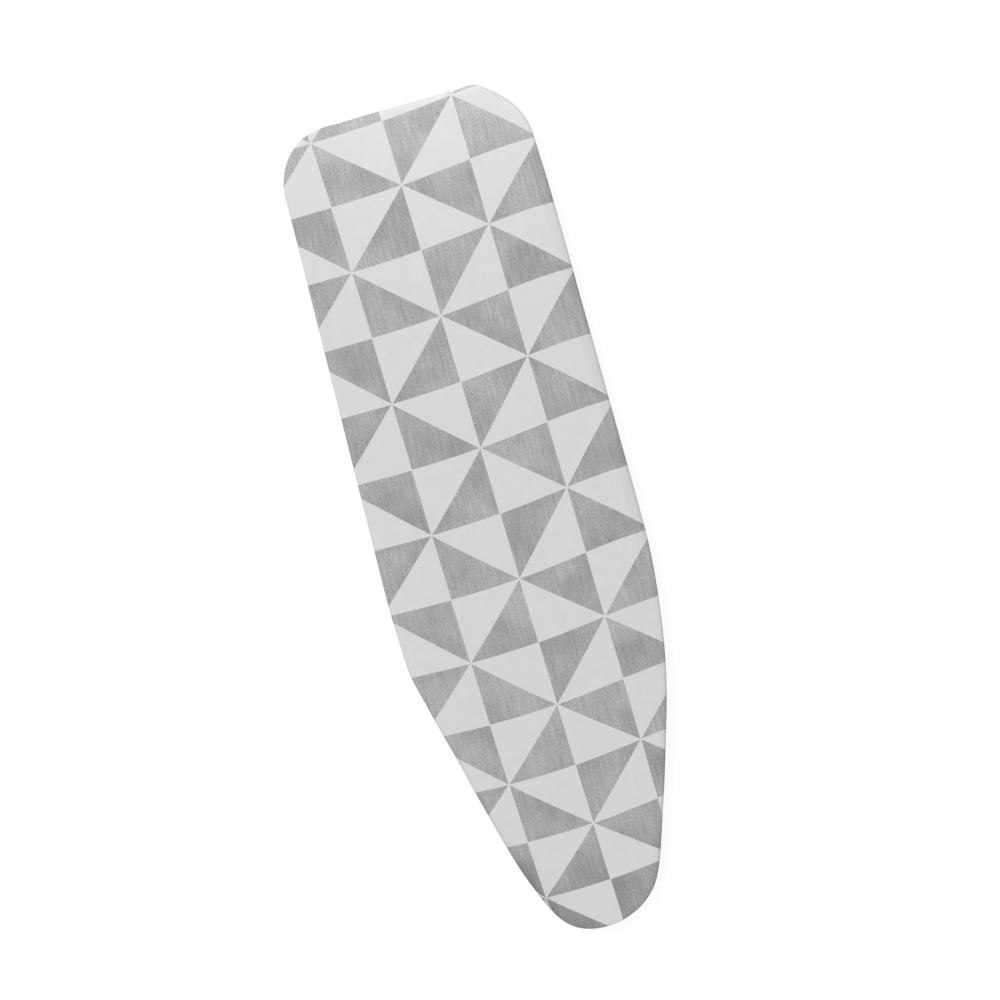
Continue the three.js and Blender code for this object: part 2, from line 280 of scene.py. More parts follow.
class NodeSheet:
    """Adds nodes to one node tree and joins them."""

    def __init__(self, tree: bpy.types.NodeTree) -> None:
        """Keeps the tree that the nodes go into."""
        self.tree = tree

    def feed(self, target: Socket, value: object) -> None:
        """Joins a socket to the target, or sets the target to a plain value."""
        if isinstance(value, bpy.types.NodeSocket):
            self.tree.links.new(value, target)
        else:
            target.default_value = value

    def node(self, kind: str, *values: object, **settings: object) -> bpy.types.Node:
        """Adds a node.

        Args:
            kind: Blender's name for the kind of node.
            *values: What feeds its inputs, in order.
            **settings: Its options, by name.

        Returns:
            The node.
        """
        made = self.tree.nodes.new(kind)
        for name, setting in settings.items():
            setattr(made, name, setting)
        for target, value in zip(made.inputs, values):
            self.feed(target, value)
        return made

    def wire(self, node: bpy.types.Node, **values: object) -> bpy.types.Node:
        """Feeds a node's inputs by name.

        Args:
            node: The node.
            **values: What feeds each input, by its name with underscores for spaces.

        Returns:
            The node.
        """
        for name, value in values.items():
            self.feed(node.inputs[name.replace("_", " ").title()], value)
        return node

    def number(self, operation: str, *values: Value) -> Socket:
        """The result of a Math node with these inputs."""
        return self.node("ShaderNodeMath", *values, operation=operation).outputs[0]

    def times(self, a: Value, b: Value) -> Socket:
        """a * b."""
        return self.number("MULTIPLY", a, b)

    def times_plus(self, a: Value, b: Value, c: Value) -> Socket:
        """a * b + c."""
        return self.number("MULTIPLY_ADD", a, b, c)

    def arch(self, value: Value) -> Socket:
        """|sin(value)|."""
        return self.number("ABSOLUTE", self.number("SINE", value))

    def polynomial(self, variable: Value, *terms: Value) -> Socket:
        """Sum of term k times the variable to the power k.

        Args:
            variable: The variable.
            *terms: The factors of its powers, from the power 0 up.

        Returns:
            The sum, worked out from the highest power down.
        """
        result = terms[-1]
        for term in reversed(terms[:-1]):
            result = self.times_plus(variable, result, term)
        return result

    def split(self, vector: Socket) -> tuple[Socket, ...]:
        """The three parts of a vector."""
        return tuple(self.node("ShaderNodeSeparateXYZ", vector).outputs)

    def join(self, x: Value, y: Value, z: Value = 0.0) -> Socket:
        """A vector made of three parts."""
        return self.node("ShaderNodeCombineXYZ", x, y, z).outputs[0]

    def noise(self, vector: Socket, scale: float, detail: float = 2.0, roughness: float = 0.5) -> Socket:
        """Noise from 0 to 1 over a vector."""
        made = self.node("ShaderNodeTexNoise")
        return self.wire(made, vector=vector, scale=scale, detail=detail, roughness=roughness).outputs["Fac"]

    def ramp(
        self, value: Value, low: float, high: float, to_low: float = 0.0, to_high: float = 1.0
    ) -> Socket:
        """A value carried smoothly from one range to another and held at its ends."""
        ends = (low, high, to_low, to_high)
        return self.node("ShaderNodeMapRange", value, *ends, interpolation_type="SMOOTHSTEP").outputs[0]

    def mix(self, share: Value, a: object, b: object, blend: str = "MIX") -> Socket:
        """Two colours mixed by a share."""
        made = self.node("ShaderNodeMix", data_type="RGBA", blend_type=blend)
        return self.wire(made, factor=share, a=a, b=b).outputs["Result"]

    def grey(self, value: Socket) -> Socket:
        """A colour whose three parts are one value."""
        return self.node("ShaderNodeCombineColor", value, value, value).outputs[0]

    def bump(self, height: Socket, depth: float, strength: float = 1.0) -> Socket:
        """A normal from a height between 0 and 1 that stands for a depth in metres."""
        made = self.node("ShaderNodeBump")
        return self.wire(made, height=height, distance=depth, strength=strength).outputs["Normal"]

    def group(self, tree: bpy.types.NodeTree, **values: object) -> bpy.types.Node:
        """Places a node group with its named inputs set."""
        return self.wire(self.node("ShaderNodeGroup", node_tree=tree), **values)

    def pattern_place(self) -> Socket:
        """The piece's own pattern coordinates, in metres."""
        return self.node("ShaderNodeUVMap", uv_map=PATTERN_MAP).outputs[0]

    def object_place(self) -> Socket:
        """Object coordinates, in metres."""
        return self.node("ShaderNodeTexCoord").outputs["Object"]


def new_group(
    name: str, inputs: dict[str, str], outputs: tuple[str, ...]
) -> tuple[NodeSheet, bpy.types.Node, bpy.types.Node]:
    """A new shader node group with named sockets.

    Args:
        name: Name of the group.
        inputs: Socket type of each input, by its name.
        outputs: Names of the outputs, which are all plain values.

    Returns:
        The sheet to add nodes to, the group's input node and its output node.
    """
    tree = bpy.data.node_groups.new(name, "ShaderNodeTree")
    for socket, kind in inputs.items():
        tree.interface.new_socket(name=socket, in_out="INPUT", socket_type=kind)
    for socket in outputs:
        tree.interface.new_socket(name=socket, in_out="OUTPUT", socket_type="NodeSocketFloat")
    sheet = NodeSheet(tree)
    return sheet, sheet.node("NodeGroupInput"), sheet.node("NodeGroupOutput")


@cache
def plain_weave() -> bpy.types.NodeTree:
    """Plain weave: warp and weft threads that pass over and under each other.

    With p and q the place in thread counts, the warp's height is
    |sin(pi p)| * (0.5 + 0.5 cos(pi q) * sign), where the sign swaps from thread to thread, and
    the weft's is the same with p and q changed over. The higher of the two shows.

    Returns:
        The group, made once.
    """
    inputs = {"Place": "NodeSocketVector", "Threads": "NodeSocketFloat"}
    sheet, entry, out = new_group("plain_weave", inputs, ("Height",))
    x, y, _ = sheet.split(entry.outputs["Place"])
    p, q = (sheet.times(part, entry.outputs["Threads"]) for part in (x, y))
    heights = []
    for thread, across, sign in ((p, q, 1.0), (q, p, -1.0)):
        round_top = sheet.arch(sheet.times(thread, math.pi))
        shifted = sheet.number("ADD", across, sheet.number("FLOOR", thread))
        lift = sheet.number("COSINE", sheet.times(shifted, math.pi))
        heights.append(sheet.times(round_top, sheet.times_plus(lift, 0.5 * sign, 0.5)))
    sheet.wire(out, height=sheet.number("MAXIMUM", *heights))
    return sheet.tree


@cache
def loose_fibres() -> bpy.types.NodeTree:
    """Loose fibres: noise drawn out along two crossed directions, with finer noise over it.

    Returns:
        The group, made once.
    """
    inputs = {"Place": "NodeSocketVector", "Fineness": "NodeSocketFloat"}
    sheet, entry, out = new_group("loose_fibres", inputs, ("Height", "Tone"))
    scaled = sheet.node("ShaderNodeVectorMath", entry.outputs["Place"], operation="SCALE")
    place = sheet.wire(scaled, scale=entry.outputs["Fineness"]).outputs[0]
    x, y, z = sheet.split(place)
    drawn_out = 0.18
    lengthwise = sheet.noise(sheet.join(sheet.times(x, drawn_out), y, z), 1.0, 3.0, 0.6)
    crosswise = sheet.noise(sheet.join(x, sheet.times(y, drawn_out), z), 1.0, 3.0, 0.6)
    strands = sheet.number("MAXIMUM", lengthwise, crosswise)
    height = sheet.times_plus(sheet.noise(place, 3.0, 2.0), 0.35, strands)
    sheet.wire(out, height=height, tone=sheet.noise(place, 0.12, 4.0, 0.6))
    return sheet.tree


# Finishes


@dataclass(frozen=True)
class Finish:
    """A material with one principled shader, whose constant sockets are set here."""

    name: str
    roughness: float = 0.85
    specular: float = 0.3

    @cache
    def build(self) -> bpy.types.Material:
        """Makes the material once for all the pieces that share the finish.

        Returns:
            The material.
        """
        material = bpy.data.materials.new(self.name)
        material.use_nodes = True
        sheet = NodeSheet(material.node_tree)
        shader = sheet.tree.nodes["Principled BSDF"]
        shader.inputs["Roughness"].default_value = self.roughness
        shader.inputs["Specular IOR Level"].default_value = self.specular
        sheet.wire(shader, **self.surface(sheet))
        return material

    def surface(self, sheet: NodeSheet) -> dict[str, Socket]:
        """What varies over the surface and feeds the shader, by input: each kind has its own."""
        raise NotImplementedError


@dataclass(frozen=True)
class PinwheelPrint:
    """Where the printed stars fall on the cloth.

    Stars stand at whole numbers of u along the board and v across it. With x and y the place on
    the flat cloth, u and v are sums of powers of x and y: they hold the pitch of the print, its
    slant, and how the cloth is pulled longer in the middle of the board than at its ends.
    """

    u_terms: tuple[tuple[float, ...], ...] = (
        (4.053, 10.334, 0.670, 1.224, 0.268),
        (0.974, -0.281, -0.338, 0.134),
        (3.758, 3.384, 2.724),
        (-8.30, 3.20),
        (-49.7,),
    )
    v_terms: tuple[tuple[float, ...], ...] = (
        (-1.0338, 0.305, 0.049, 0.090),
        (-9.848, -0.2525, -0.639, -2.083),
        (-0.173, 0.889),
        (-0.715,),
    )
    border: float = 0.0045

    def mask(self, sheet: NodeSheet, x: Socket, y: Socket) -> Socket:
        """1 on the grey triangles and 0 on the light ones.

        Four families of lines cut each square of the print into eight triangles: u, v, (u + v) / 2
        and (u - v) / 2 at whole numbers. A triangle is grey if the sum of their floors is odd. A
        thin light border is left along each line.

        Args:
            sheet: The sheet to add nodes to.
            x: Place along the cloth.
            y: Place across the cloth.

        Returns:
            The mask.
        """
        u, v = (
            sheet.polynomial(y, *(sheet.polynomial(x, *powers) for powers in terms))
            for terms in (self.u_terms, self.v_terms)
        )
        slopes = [sheet.times(sheet.number(kind, u, v), 0.5) for kind in ("ADD", "SUBTRACT")]
        floors: Value = 0.0
        nearest: Value = 1.0
        for line, spread in ((u, 1.0), (v, 1.0), *((slope, math.sqrt(2)) for slope in slopes)):
            floors = sheet.number("ADD", floors, sheet.number("FLOOR", line))
            distance = sheet.times(sheet.number("PINGPONG", line, 0.5), spread)
            nearest = sheet.number("MINIMUM", nearest, distance)
        odd = sheet.number("GREATER_THAN", sheet.number("FLOORED_MODULO", floors, 2.0), 0.5)
        return sheet.times(odd, sheet.ramp(nearest, self.border * 0.4, self.border * 1.6))


@dataclass(frozen=True)
class PrintedCottonFinish(Finish):
    """Matt coated cotton with grey triangles whose ink follows the threads in fine streaks.

    The ground's tone and the ink's are those of the middle of the board. The others are factors on
    them, reached over a stretch: the ink's at the heel and at the nose, and, as painted shade where the
    soft roll turns away from the lamps, the ink's and the ground's at the -Y side of the nose.
    """

    light: float = 0.685
    dark: float = 0.40
    heel_end: tuple[float, float] = (-0.62, -0.42)
    heel_tones: tuple[float, float] = (1.14, 0.98)
    nose_end: tuple[float, float] = (0.42, 0.62)
    nose_tones: tuple[float, float] = (1.0, 0.78)
    # painted shade at the -Y side of the nose: where it reaches, and its factors on ink and ground
    nose_side_shade_band: tuple[float, float] = (0.58, 0.69)
    nose_side_shade_on_ink: float = 0.80
    nose_side_shade_on_ground: float = 0.95
    grain_depth: float = 0.00006
    streak_depth: float = 0.64
    dark_streak: float = 0.88
    threads_per_metre: float = 2600.0
    stars: PinwheelPrint = PinwheelPrint()

    def surface(self, sheet: NodeSheet) -> dict[str, Socket]:
        """Ink over ground where the print says so, with the weave's grain over both.

        Args:
            sheet: The sheet to add nodes to.

        Returns:
            What feeds the shader, by input.
        """
        place = sheet.pattern_place()
        x, y, _ = sheet.split(place)
        streaks = self.streaks(sheet, x, y)
        # painted shade: ink and ground darken towards the -Y side of the nose, where the soft roll turns
        # away from the lamps
        painted_nose_side_shade = sheet.ramp(sheet.times_plus(y, -math.sqrt(3), x), *self.nose_side_shade_band)
        patches = sheet.ramp(sheet.noise(place, 12.0, 3.0), 0.25, 0.75, 0.83, 1.17)
        # The ink is lighter towards the heel and darker towards the nose.
        ink_lighter_at_heel = sheet.ramp(x, *self.heel_end, *self.heel_tones)
        ink_darker_at_nose = sheet.ramp(x, *self.nose_end, *self.nose_tones)
        ink_shade_factor = sheet.times_plus(painted_nose_side_shade, self.nose_side_shade_on_ink - 1, 1.0)
        ink = self.dark
        for factor in (streaks, patches, ink_lighter_at_heel, ink_darker_at_nose, ink_shade_factor):
            ink = sheet.times(factor, ink)
        cloudy = sheet.ramp(sheet.noise(place, 60.0, 3.0), 0.2, 0.8, 0.984, 1.016)
        ground_shade_factor = sheet.times_plus(painted_nose_side_shade, self.nose_side_shade_on_ground - 1, 1.0)
        ground = sheet.times(sheet.times(cloudy, self.light), ground_shade_factor)
        weave = sheet.group(plain_weave(), place=place, threads=self.threads_per_metre)
        grain = sheet.times_plus(sheet.noise(place, 900.0, 3.0), 0.5, weave.outputs["Height"])
        return {
            "base_color": sheet.mix(self.stars.mask(sheet, x, y), sheet.grey(ground), sheet.grey(ink)),
            "normal": sheet.bump(grain, self.grain_depth, 0.5),
            "roughness": sheet.ramp(streaks, 0.8, 1.2, self.roughness - 0.04, self.roughness + 0.04),
        }

    def streaks(self, sheet: NodeSheet, x: Socket, y: Socket) -> Socket:
        """Streaks along the board, noise drawn out along x, over a fine grain.

        Args:
            sheet: The sheet to add nodes to.
            x: Place along the cloth.
            y: Place across the cloth.

        Returns:
            A factor round 1 for the ink's tone.
        """
        kinds = ((24.0, 260.0, 0.0, 0.0), (300.0, 380.0, 3.0, 1.0), (30.0, 330.0, 7.0, 1.0))
        drawn_out, grainy, rare = (
            sheet.noise(sheet.join(sheet.times(x, along), sheet.times(y, across), layer), 1.0, detail)
            for along, across, layer, detail in kinds
        )
        both = sheet.number("ADD", sheet.times_plus(drawn_out, 0.52, -0.26), grainy)
        fine = sheet.times_plus(sheet.number("SUBTRACT", both, 0.5), self.streak_depth, 1.0)
        return sheet.times(fine, sheet.ramp(rare, 0.62, 0.78, 1.0, self.dark_streak))


@dataclass(frozen=True)
class TintedFinish(Finish):
    """A finish of one colour, which is darkened here and there."""

    colour: Colour = (0.80, 0.80, 0.79)

    def tinted(self, sheet: NodeSheet, shade: Socket) -> Socket:
        """The colour times a shade from 0 to 1."""
        return sheet.mix(1.0, (*self.colour, 1.0), sheet.grey(shade), "MULTIPLY")


@dataclass(frozen=True)
class FibreFinish(TintedFinish):
    """Felt or brushed pile: soft matt stuff made of loose fibres."""

    fineness: float = 700.0
    depth: float = 0.0004
    tone_and_shade_spread: float = 0.12

    def surface(self, sheet: NodeSheet) -> dict[str, Socket]:
        """Strands that stand out higher, with painted shade on the lower fibres between them, on patches of
        a slightly different tone.

        Args:
            sheet: The sheet to add nodes to.

        Returns:
            What feeds the shader, by input.
        """
        fibres = sheet.group(loose_fibres(), place=sheet.object_place(), fineness=self.fineness)
        height, lowest = fibres.outputs["Height"], 1 - self.tone_and_shade_spread
        tone = sheet.ramp(fibres.outputs["Tone"], 0.25, 0.75, lowest, 1.0)
        # random tone times painted shade on the lower fibres
        shade = sheet.times(tone, sheet.ramp(height, 0.4, 1.0, lowest, 1.0))
        return {"base_color": self.tinted(sheet, shade), "normal": sheet.bump(height, self.depth)}


@dataclass(frozen=True)
class FoamFinish(TintedFinish):
    """Open-cell foam: small round pores, with painted shade in their depths."""

    pores_per_metre: float = 900.0
    pore_depth: float = 0.0005
    pore_shade: float = 0.72

    def surface(self, sheet: NodeSheet) -> dict[str, Socket]:
        """Round cells with thin walls between them.

        Args:
            sheet: The sheet to add nodes to.

        Returns:
            What feeds the shader, by input.
        """
        cells = sheet.node("ShaderNodeTexVoronoi", feature="SMOOTH_F1")
        sheet.wire(cells, vector=sheet.object_place(), scale=self.pores_per_metre)
        wall = sheet.ramp(cells.outputs["Distance"], 0.15, 0.6)
        # painted shade: the pores are darker towards their depths
        shade = sheet.ramp(wall, 0.0, 1.0, self.pore_shade, 1.0)
        return {"base_color": self.tinted(sheet, shade), "normal": sheet.bump(wall, self.pore_depth)}


@dataclass(frozen=True)
class TapeFinish(TintedFinish):
    """Narrow woven goods: ribs along the length crossed by fine threads.

    The pattern's first coordinate runs along the tape and its second across it.
    """

    ribs_per_metre: float = 900.0
    rib_depth: float = 0.0001
    picks_per_metre: float = 1500.0
    groove_shade: float = 0.86

    def surface(self, sheet: NodeSheet) -> dict[str, Socket]:
        """Ribs |sin| across the tape, picks |sin| along it that bend over them, and the weave, with painted
        shade in the grooves.

        Args:
            sheet: The sheet to add nodes to.

        Returns:
            What feeds the shader, by input.
        """
        place = sheet.pattern_place()
        along, across, _ = sheet.split(place)
        rib = sheet.arch(sheet.times(across, self.ribs_per_metre * math.pi))
        pick = sheet.arch(sheet.times_plus(along, self.picks_per_metre * math.pi, sheet.times(rib, 0.9)))
        height = sheet.times_plus(pick, 0.35, sheet.number("POWER", rib, 0.6))
        weave = sheet.group(plain_weave(), place=place, threads=self.picks_per_metre)
        height = sheet.times_plus(weave.outputs["Height"], 0.15, height)
        wear = sheet.ramp(sheet.noise(place, 90.0, 3.0), 0.3, 0.7, 0.97, 1.0)
        # painted shade in the grooves between ribs and picks, times a random tone of wear
        shade = sheet.times(sheet.ramp(height, 0.2, 1.1, self.groove_shade, 1.0), wear)
        return {"base_color": self.tinted(sheet, shade), "normal": sheet.bump(height, self.rib_depth)}


@dataclass(frozen=True)
class MouldedFinish(TintedFinish):
    """Stiff nylon with a slight grain, for the hooks and the sewing thread."""

    grain_per_metre: float = 1500.0
    grain_depth: float = 0.00005

    def surface(self, sheet: NodeSheet) -> dict[str, Socket]:
        """A slight grain in tone, roughness and height.

        Args:
            sheet: The sheet to add nodes to.

        Returns:
            What feeds the shader, by input.
        """
        grain = sheet.noise(sheet.object_place(), self.grain_per_metre, 2.0)
        rough = (self.roughness - 0.05, self.roughness + 0.08)
        return {
            "base_color": self.tinted(sheet, sheet.ramp(grain, 0.3, 0.7, 0.92, 1.0)),
            "roughness": sheet.ramp(grain, 0.3, 0.7, *rough),
            "normal": sheet.bump(grain, self.grain_depth),
        }


@dataclass(frozen=True)
class PaperFinish(Finish):
    """The floor's matt white paper."""

    def surface(self, sheet: NodeSheet) -> dict[str, Socket]:
        """A faint grain in its tone."""
        grain = sheet.noise(sheet.object_place(), 220.0, 3.0)
        return {"base_color": sheet.grey(sheet.ramp(grain, 0.3, 0.7, 0.885, 0.9))}


# Outline and section


@dataclass(frozen=True)
class Trace:
    """Stations once round the outline, clockwise from above, starting in the middle of the heel.

    Attributes:
        place: Place of each station in plan.
        out: Unit vector out of the outline at each station.
        run: Length of outline from the first station.
        bend: How sharply the outline bends there, 1 / radius, smoothed.
        perimeter: Length of the whole outline.
    """

    place: np.ndarray
    out: np.ndarray
    run: np.ndarray
    bend: np.ndarray
    perimeter: float

    @property
    def count(self) -> int:
        """Number of stations."""
        return len(self.run)

    @property
    def lap(self) -> np.ndarray:
        """Share of the whole outline up to each station, as an angle."""
        return self.run * (FULL_TURN / self.perimeter)

    def partner(self) -> np.ndarray:
        """Number of the station on the +Y half that each station shares its spine corner with."""
        index = np.arange(self.count)
        return np.minimum(index, self.count - index)

    def at_inset(self, inset: np.ndarray, height: np.ndarray) -> np.ndarray:
        """Rows of places at insets from the outline and at heights.

        Args:
            inset: Insets, for each row or for each row and station.
            height: Heights, for each row or for each row and station.

        Returns:
            The places: row, station, axis.
        """
        inset, height = (a if a.ndim == 2 else a[:, None] for a in (inset, height))
        shape = (len(inset), self.count)
        plan = self.place[None] - self.out[None] * np.broadcast_to(inset, shape)[..., None]
        return np.concatenate([plan, np.broadcast_to(height, shape)[..., None]], axis=2)

    def cut(self, inset: np.ndarray) -> tuple[tuple[float, float], float]:
        """Size of a flat piece whose edge lies at an inset at each station. The area is half the
        sum of x y' - x' y over neighbouring corners.

        Args:
            inset: Inset of the edge at each station.

        Returns:
            Width and length of the rectangle that it is cut from, and its own area.
        """
        edge = self.place - self.out * inset[:, None]
        following = np.roll(edge, -1, axis=0)
        length, width = edge.max(axis=0) - edge.min(axis=0)
        area = abs(np.sum(edge[:, 0] * following[:, 1] - edge[:, 1] * following[:, 0])) / 2
        LOG.info("cut %.3f by %.3f m, %.4f square metres", width, length, area)
        return (float(width), float(length)), float(area)


@dataclass(frozen=True)
class BoardOutline:
    """The board's outline in plan, as tangent lines and arcs from the heel to the nose.

    The bulges are bells along the outline by which the soft rim stands out or in: each has its
    middle, its spread and its height.
    """

    length: float = 1.2
    heel_half_width: float = 0.1813
    heel_corner_radius: float = 0.088
    side_flare: float = math.radians(0.76)
    shoulder_radius: float = 0.845
    taper: float = math.radians(15.7)
    taper_radius: float = 0.490
    nose_radius: float = 0.090
    nose_arc: float = math.radians(64)
    bulges: tuple[tuple[float, float, float], ...] = (
        (0.061, 0.064, 0.0016),
        (0.116, 0.019, 0.0045),
        (0.199, 0.080, -0.0031),
        (0.916, 0.080, -0.0016),
        (1.070, 0.056, 0.0010),
        (1.239, 0.051, -0.0028),
        (1.371, 0.047, -0.0028),
        (1.463, 0.034, 0.0032),
        (1.780, 0.080, -0.0029),
        (1.893, 0.037, 0.0028),
        (2.679, 0.068, 0.0021),
        (2.727, 0.038, -0.0028),
    )
    bend_blur: float = 0.015
    line_spacing: float = 0.0045
    arc_spacing: float = 0.0013
    easy_arc_spacing: float = 0.003

    def half_width_at(self, x: float) -> float:
        """Half the outline's width at a place along the straight side."""
        return self.heel_half_width + (x + self.length / 2) * math.tan(self.side_flare)

    def stretches(self) -> list[tuple[float, float, float]]:
        """The lines and arcs of the +Y half, each tangent to the next. The lengths of the side and
        the taper are those for which the walk along them ends where the taper's arc starts.

        Returns:
            Length, bend and station spacing of each stretch, from the heel's middle to the nose's tip.
        """
        nose_centre = np.array([self.length / 2 - self.nose_radius, 0.0])
        nose_out = np.array([math.cos(self.nose_arc), math.sin(self.nose_arc)])
        taper_out = np.array([math.sin(self.taper), math.cos(self.taper)])
        taper_centre = nose_centre + nose_out * (self.nose_radius - self.taper_radius)
        taper_start = taper_centre + taper_out * self.taper_radius
        side = np.array([math.cos(self.side_flare), math.sin(self.side_flare)])
        fall = np.array([math.cos(self.taper), -math.sin(self.taper)])
        heel_edge = np.array([-self.length / 2, self.heel_half_width])
        side_length, fall_length = np.linalg.solve(np.column_stack([side, fall]), taper_start - heel_edge)
        heel_turn = QUARTER_TURN - self.side_flare
        heel_trim = self.heel_corner_radius * math.tan(heel_turn / 2)
        shoulder_turn = self.side_flare + self.taper
        shoulder_trim = self.shoulder_radius * math.tan(shoulder_turn / 2)
        taper_turn = QUARTER_TURN - self.taper - self.nose_arc
        line, arc, easy = self.line_spacing, self.arc_spacing, self.easy_arc_spacing
        return [
            (self.heel_half_width - heel_trim, 0.0, line),
            (self.heel_corner_radius * heel_turn, 1 / self.heel_corner_radius, arc),
            (side_length - heel_trim - shoulder_trim, 0.0, line),
            (self.shoulder_radius * shoulder_turn, 1 / self.shoulder_radius, line),
            (fall_length - shoulder_trim, 0.0, line),
            (self.taper_radius * taper_turn, 1 / self.taper_radius, easy),
            (self.nose_radius * self.nose_arc, 1 / self.nose_radius, arc),
        ]

    def trace(self, fineness: float = 1.0) -> Trace:
        """Walks the outline: along a stretch of bend k from heading h, the place moves by
        (sin h - sin(h - k s), cos(h - k s) - cos h) / k, or by s (cos h, sin h) where it is straight.

        Args:
            fineness: Factor on the number of stations.

        Returns:
            The stations of the whole outline.
        """
        start, heading, done = np.array([-self.length / 2, 0.0]), QUARTER_TURN, 0.0
        walked = []
        for length, bend, spacing in self.stretches():
            steps = max(2, round(length * fineness / spacing))
            run = np.linspace(0, length, steps + 1)
            turned = heading - bend * run
            if bend:
                moved = np.stack([np.sin(heading) - np.sin(turned), np.cos(turned) - np.cos(heading)])
                place = start[:, None] + moved / bend
            else:
                place = start[:, None] + run * np.array([[math.cos(heading)], [math.sin(heading)]])
            walked.append(np.vstack([place, turned, done + run, np.full(steps + 1, bend)])[:, :-1])
            start, heading, done = place[:, -1], turned[-1], done + length
        x, y, turned, run, bend = np.concatenate(walked, axis=1)
        out = np.stack([-np.sin(turned), np.cos(turned)], axis=1)
        flip = np.array([1.0, -1.0])
        place = np.column_stack([x, y])
        place = np.concatenate([place, [[self.length / 2, 0.0]], place[:0:-1] * flip])
        out = np.concatenate([out, [[1.0, 0.0]], out[:0:-1] * flip])
        run = np.concatenate([run, [done], 2 * done - run[:0:-1]])
        bend = np.concatenate([bend, bend[-1:], bend[:0:-1]])
        place = place + out * self.unevenness(run, 2 * done)[:, None]
        return Trace(place, out, run, self.smoothed(run, bend, 2 * done), 2 * done)

    def unevenness(self, run: np.ndarray, perimeter: float) -> np.ndarray:
        """How far the rim stands out at each station: the sum of the bells.

        Args:
            run: Length of outline at each station.
            perimeter: Length of the whole outline.

        Returns:
            The outward move at each station.
        """
        total = np.zeros(len(run))
        for centre, spread, height in self.bulges:
            away = (run - centre + perimeter / 2) % perimeter - perimeter / 2
            total += height * np.exp(-((away / spread) ** 2))
        return total

    def smoothed(self, run: np.ndarray, bend: np.ndarray, perimeter: float) -> np.ndarray:
        """The bend blurred along the outline by a bell, so that nothing starts at one station.

        Args:
            run: Length of outline at each station.
            bend: Bend at each station.
            perimeter: Length of the whole outline.

        Returns:
            The smoothed bend at each station.
        """
        even = np.linspace(0, perimeter, 2048, endpoint=False)
        waves = np.fft.rfft(np.interp(even, run, bend, period=perimeter))
        rounds = np.arange(len(waves)) * (FULL_TURN / perimeter)
        spread = np.fft.irfft(waves * np.exp(-0.5 * (rounds * self.bend_blur) ** 2), len(even))
        return np.interp(run, even, spread, period=perimeter)


class StrapPlace(Enum):
    """The three straps and how far each lies from the heel."""

    HEEL = 0.190
    MIDDLE = 0.405
    SHOULDER = 0.620


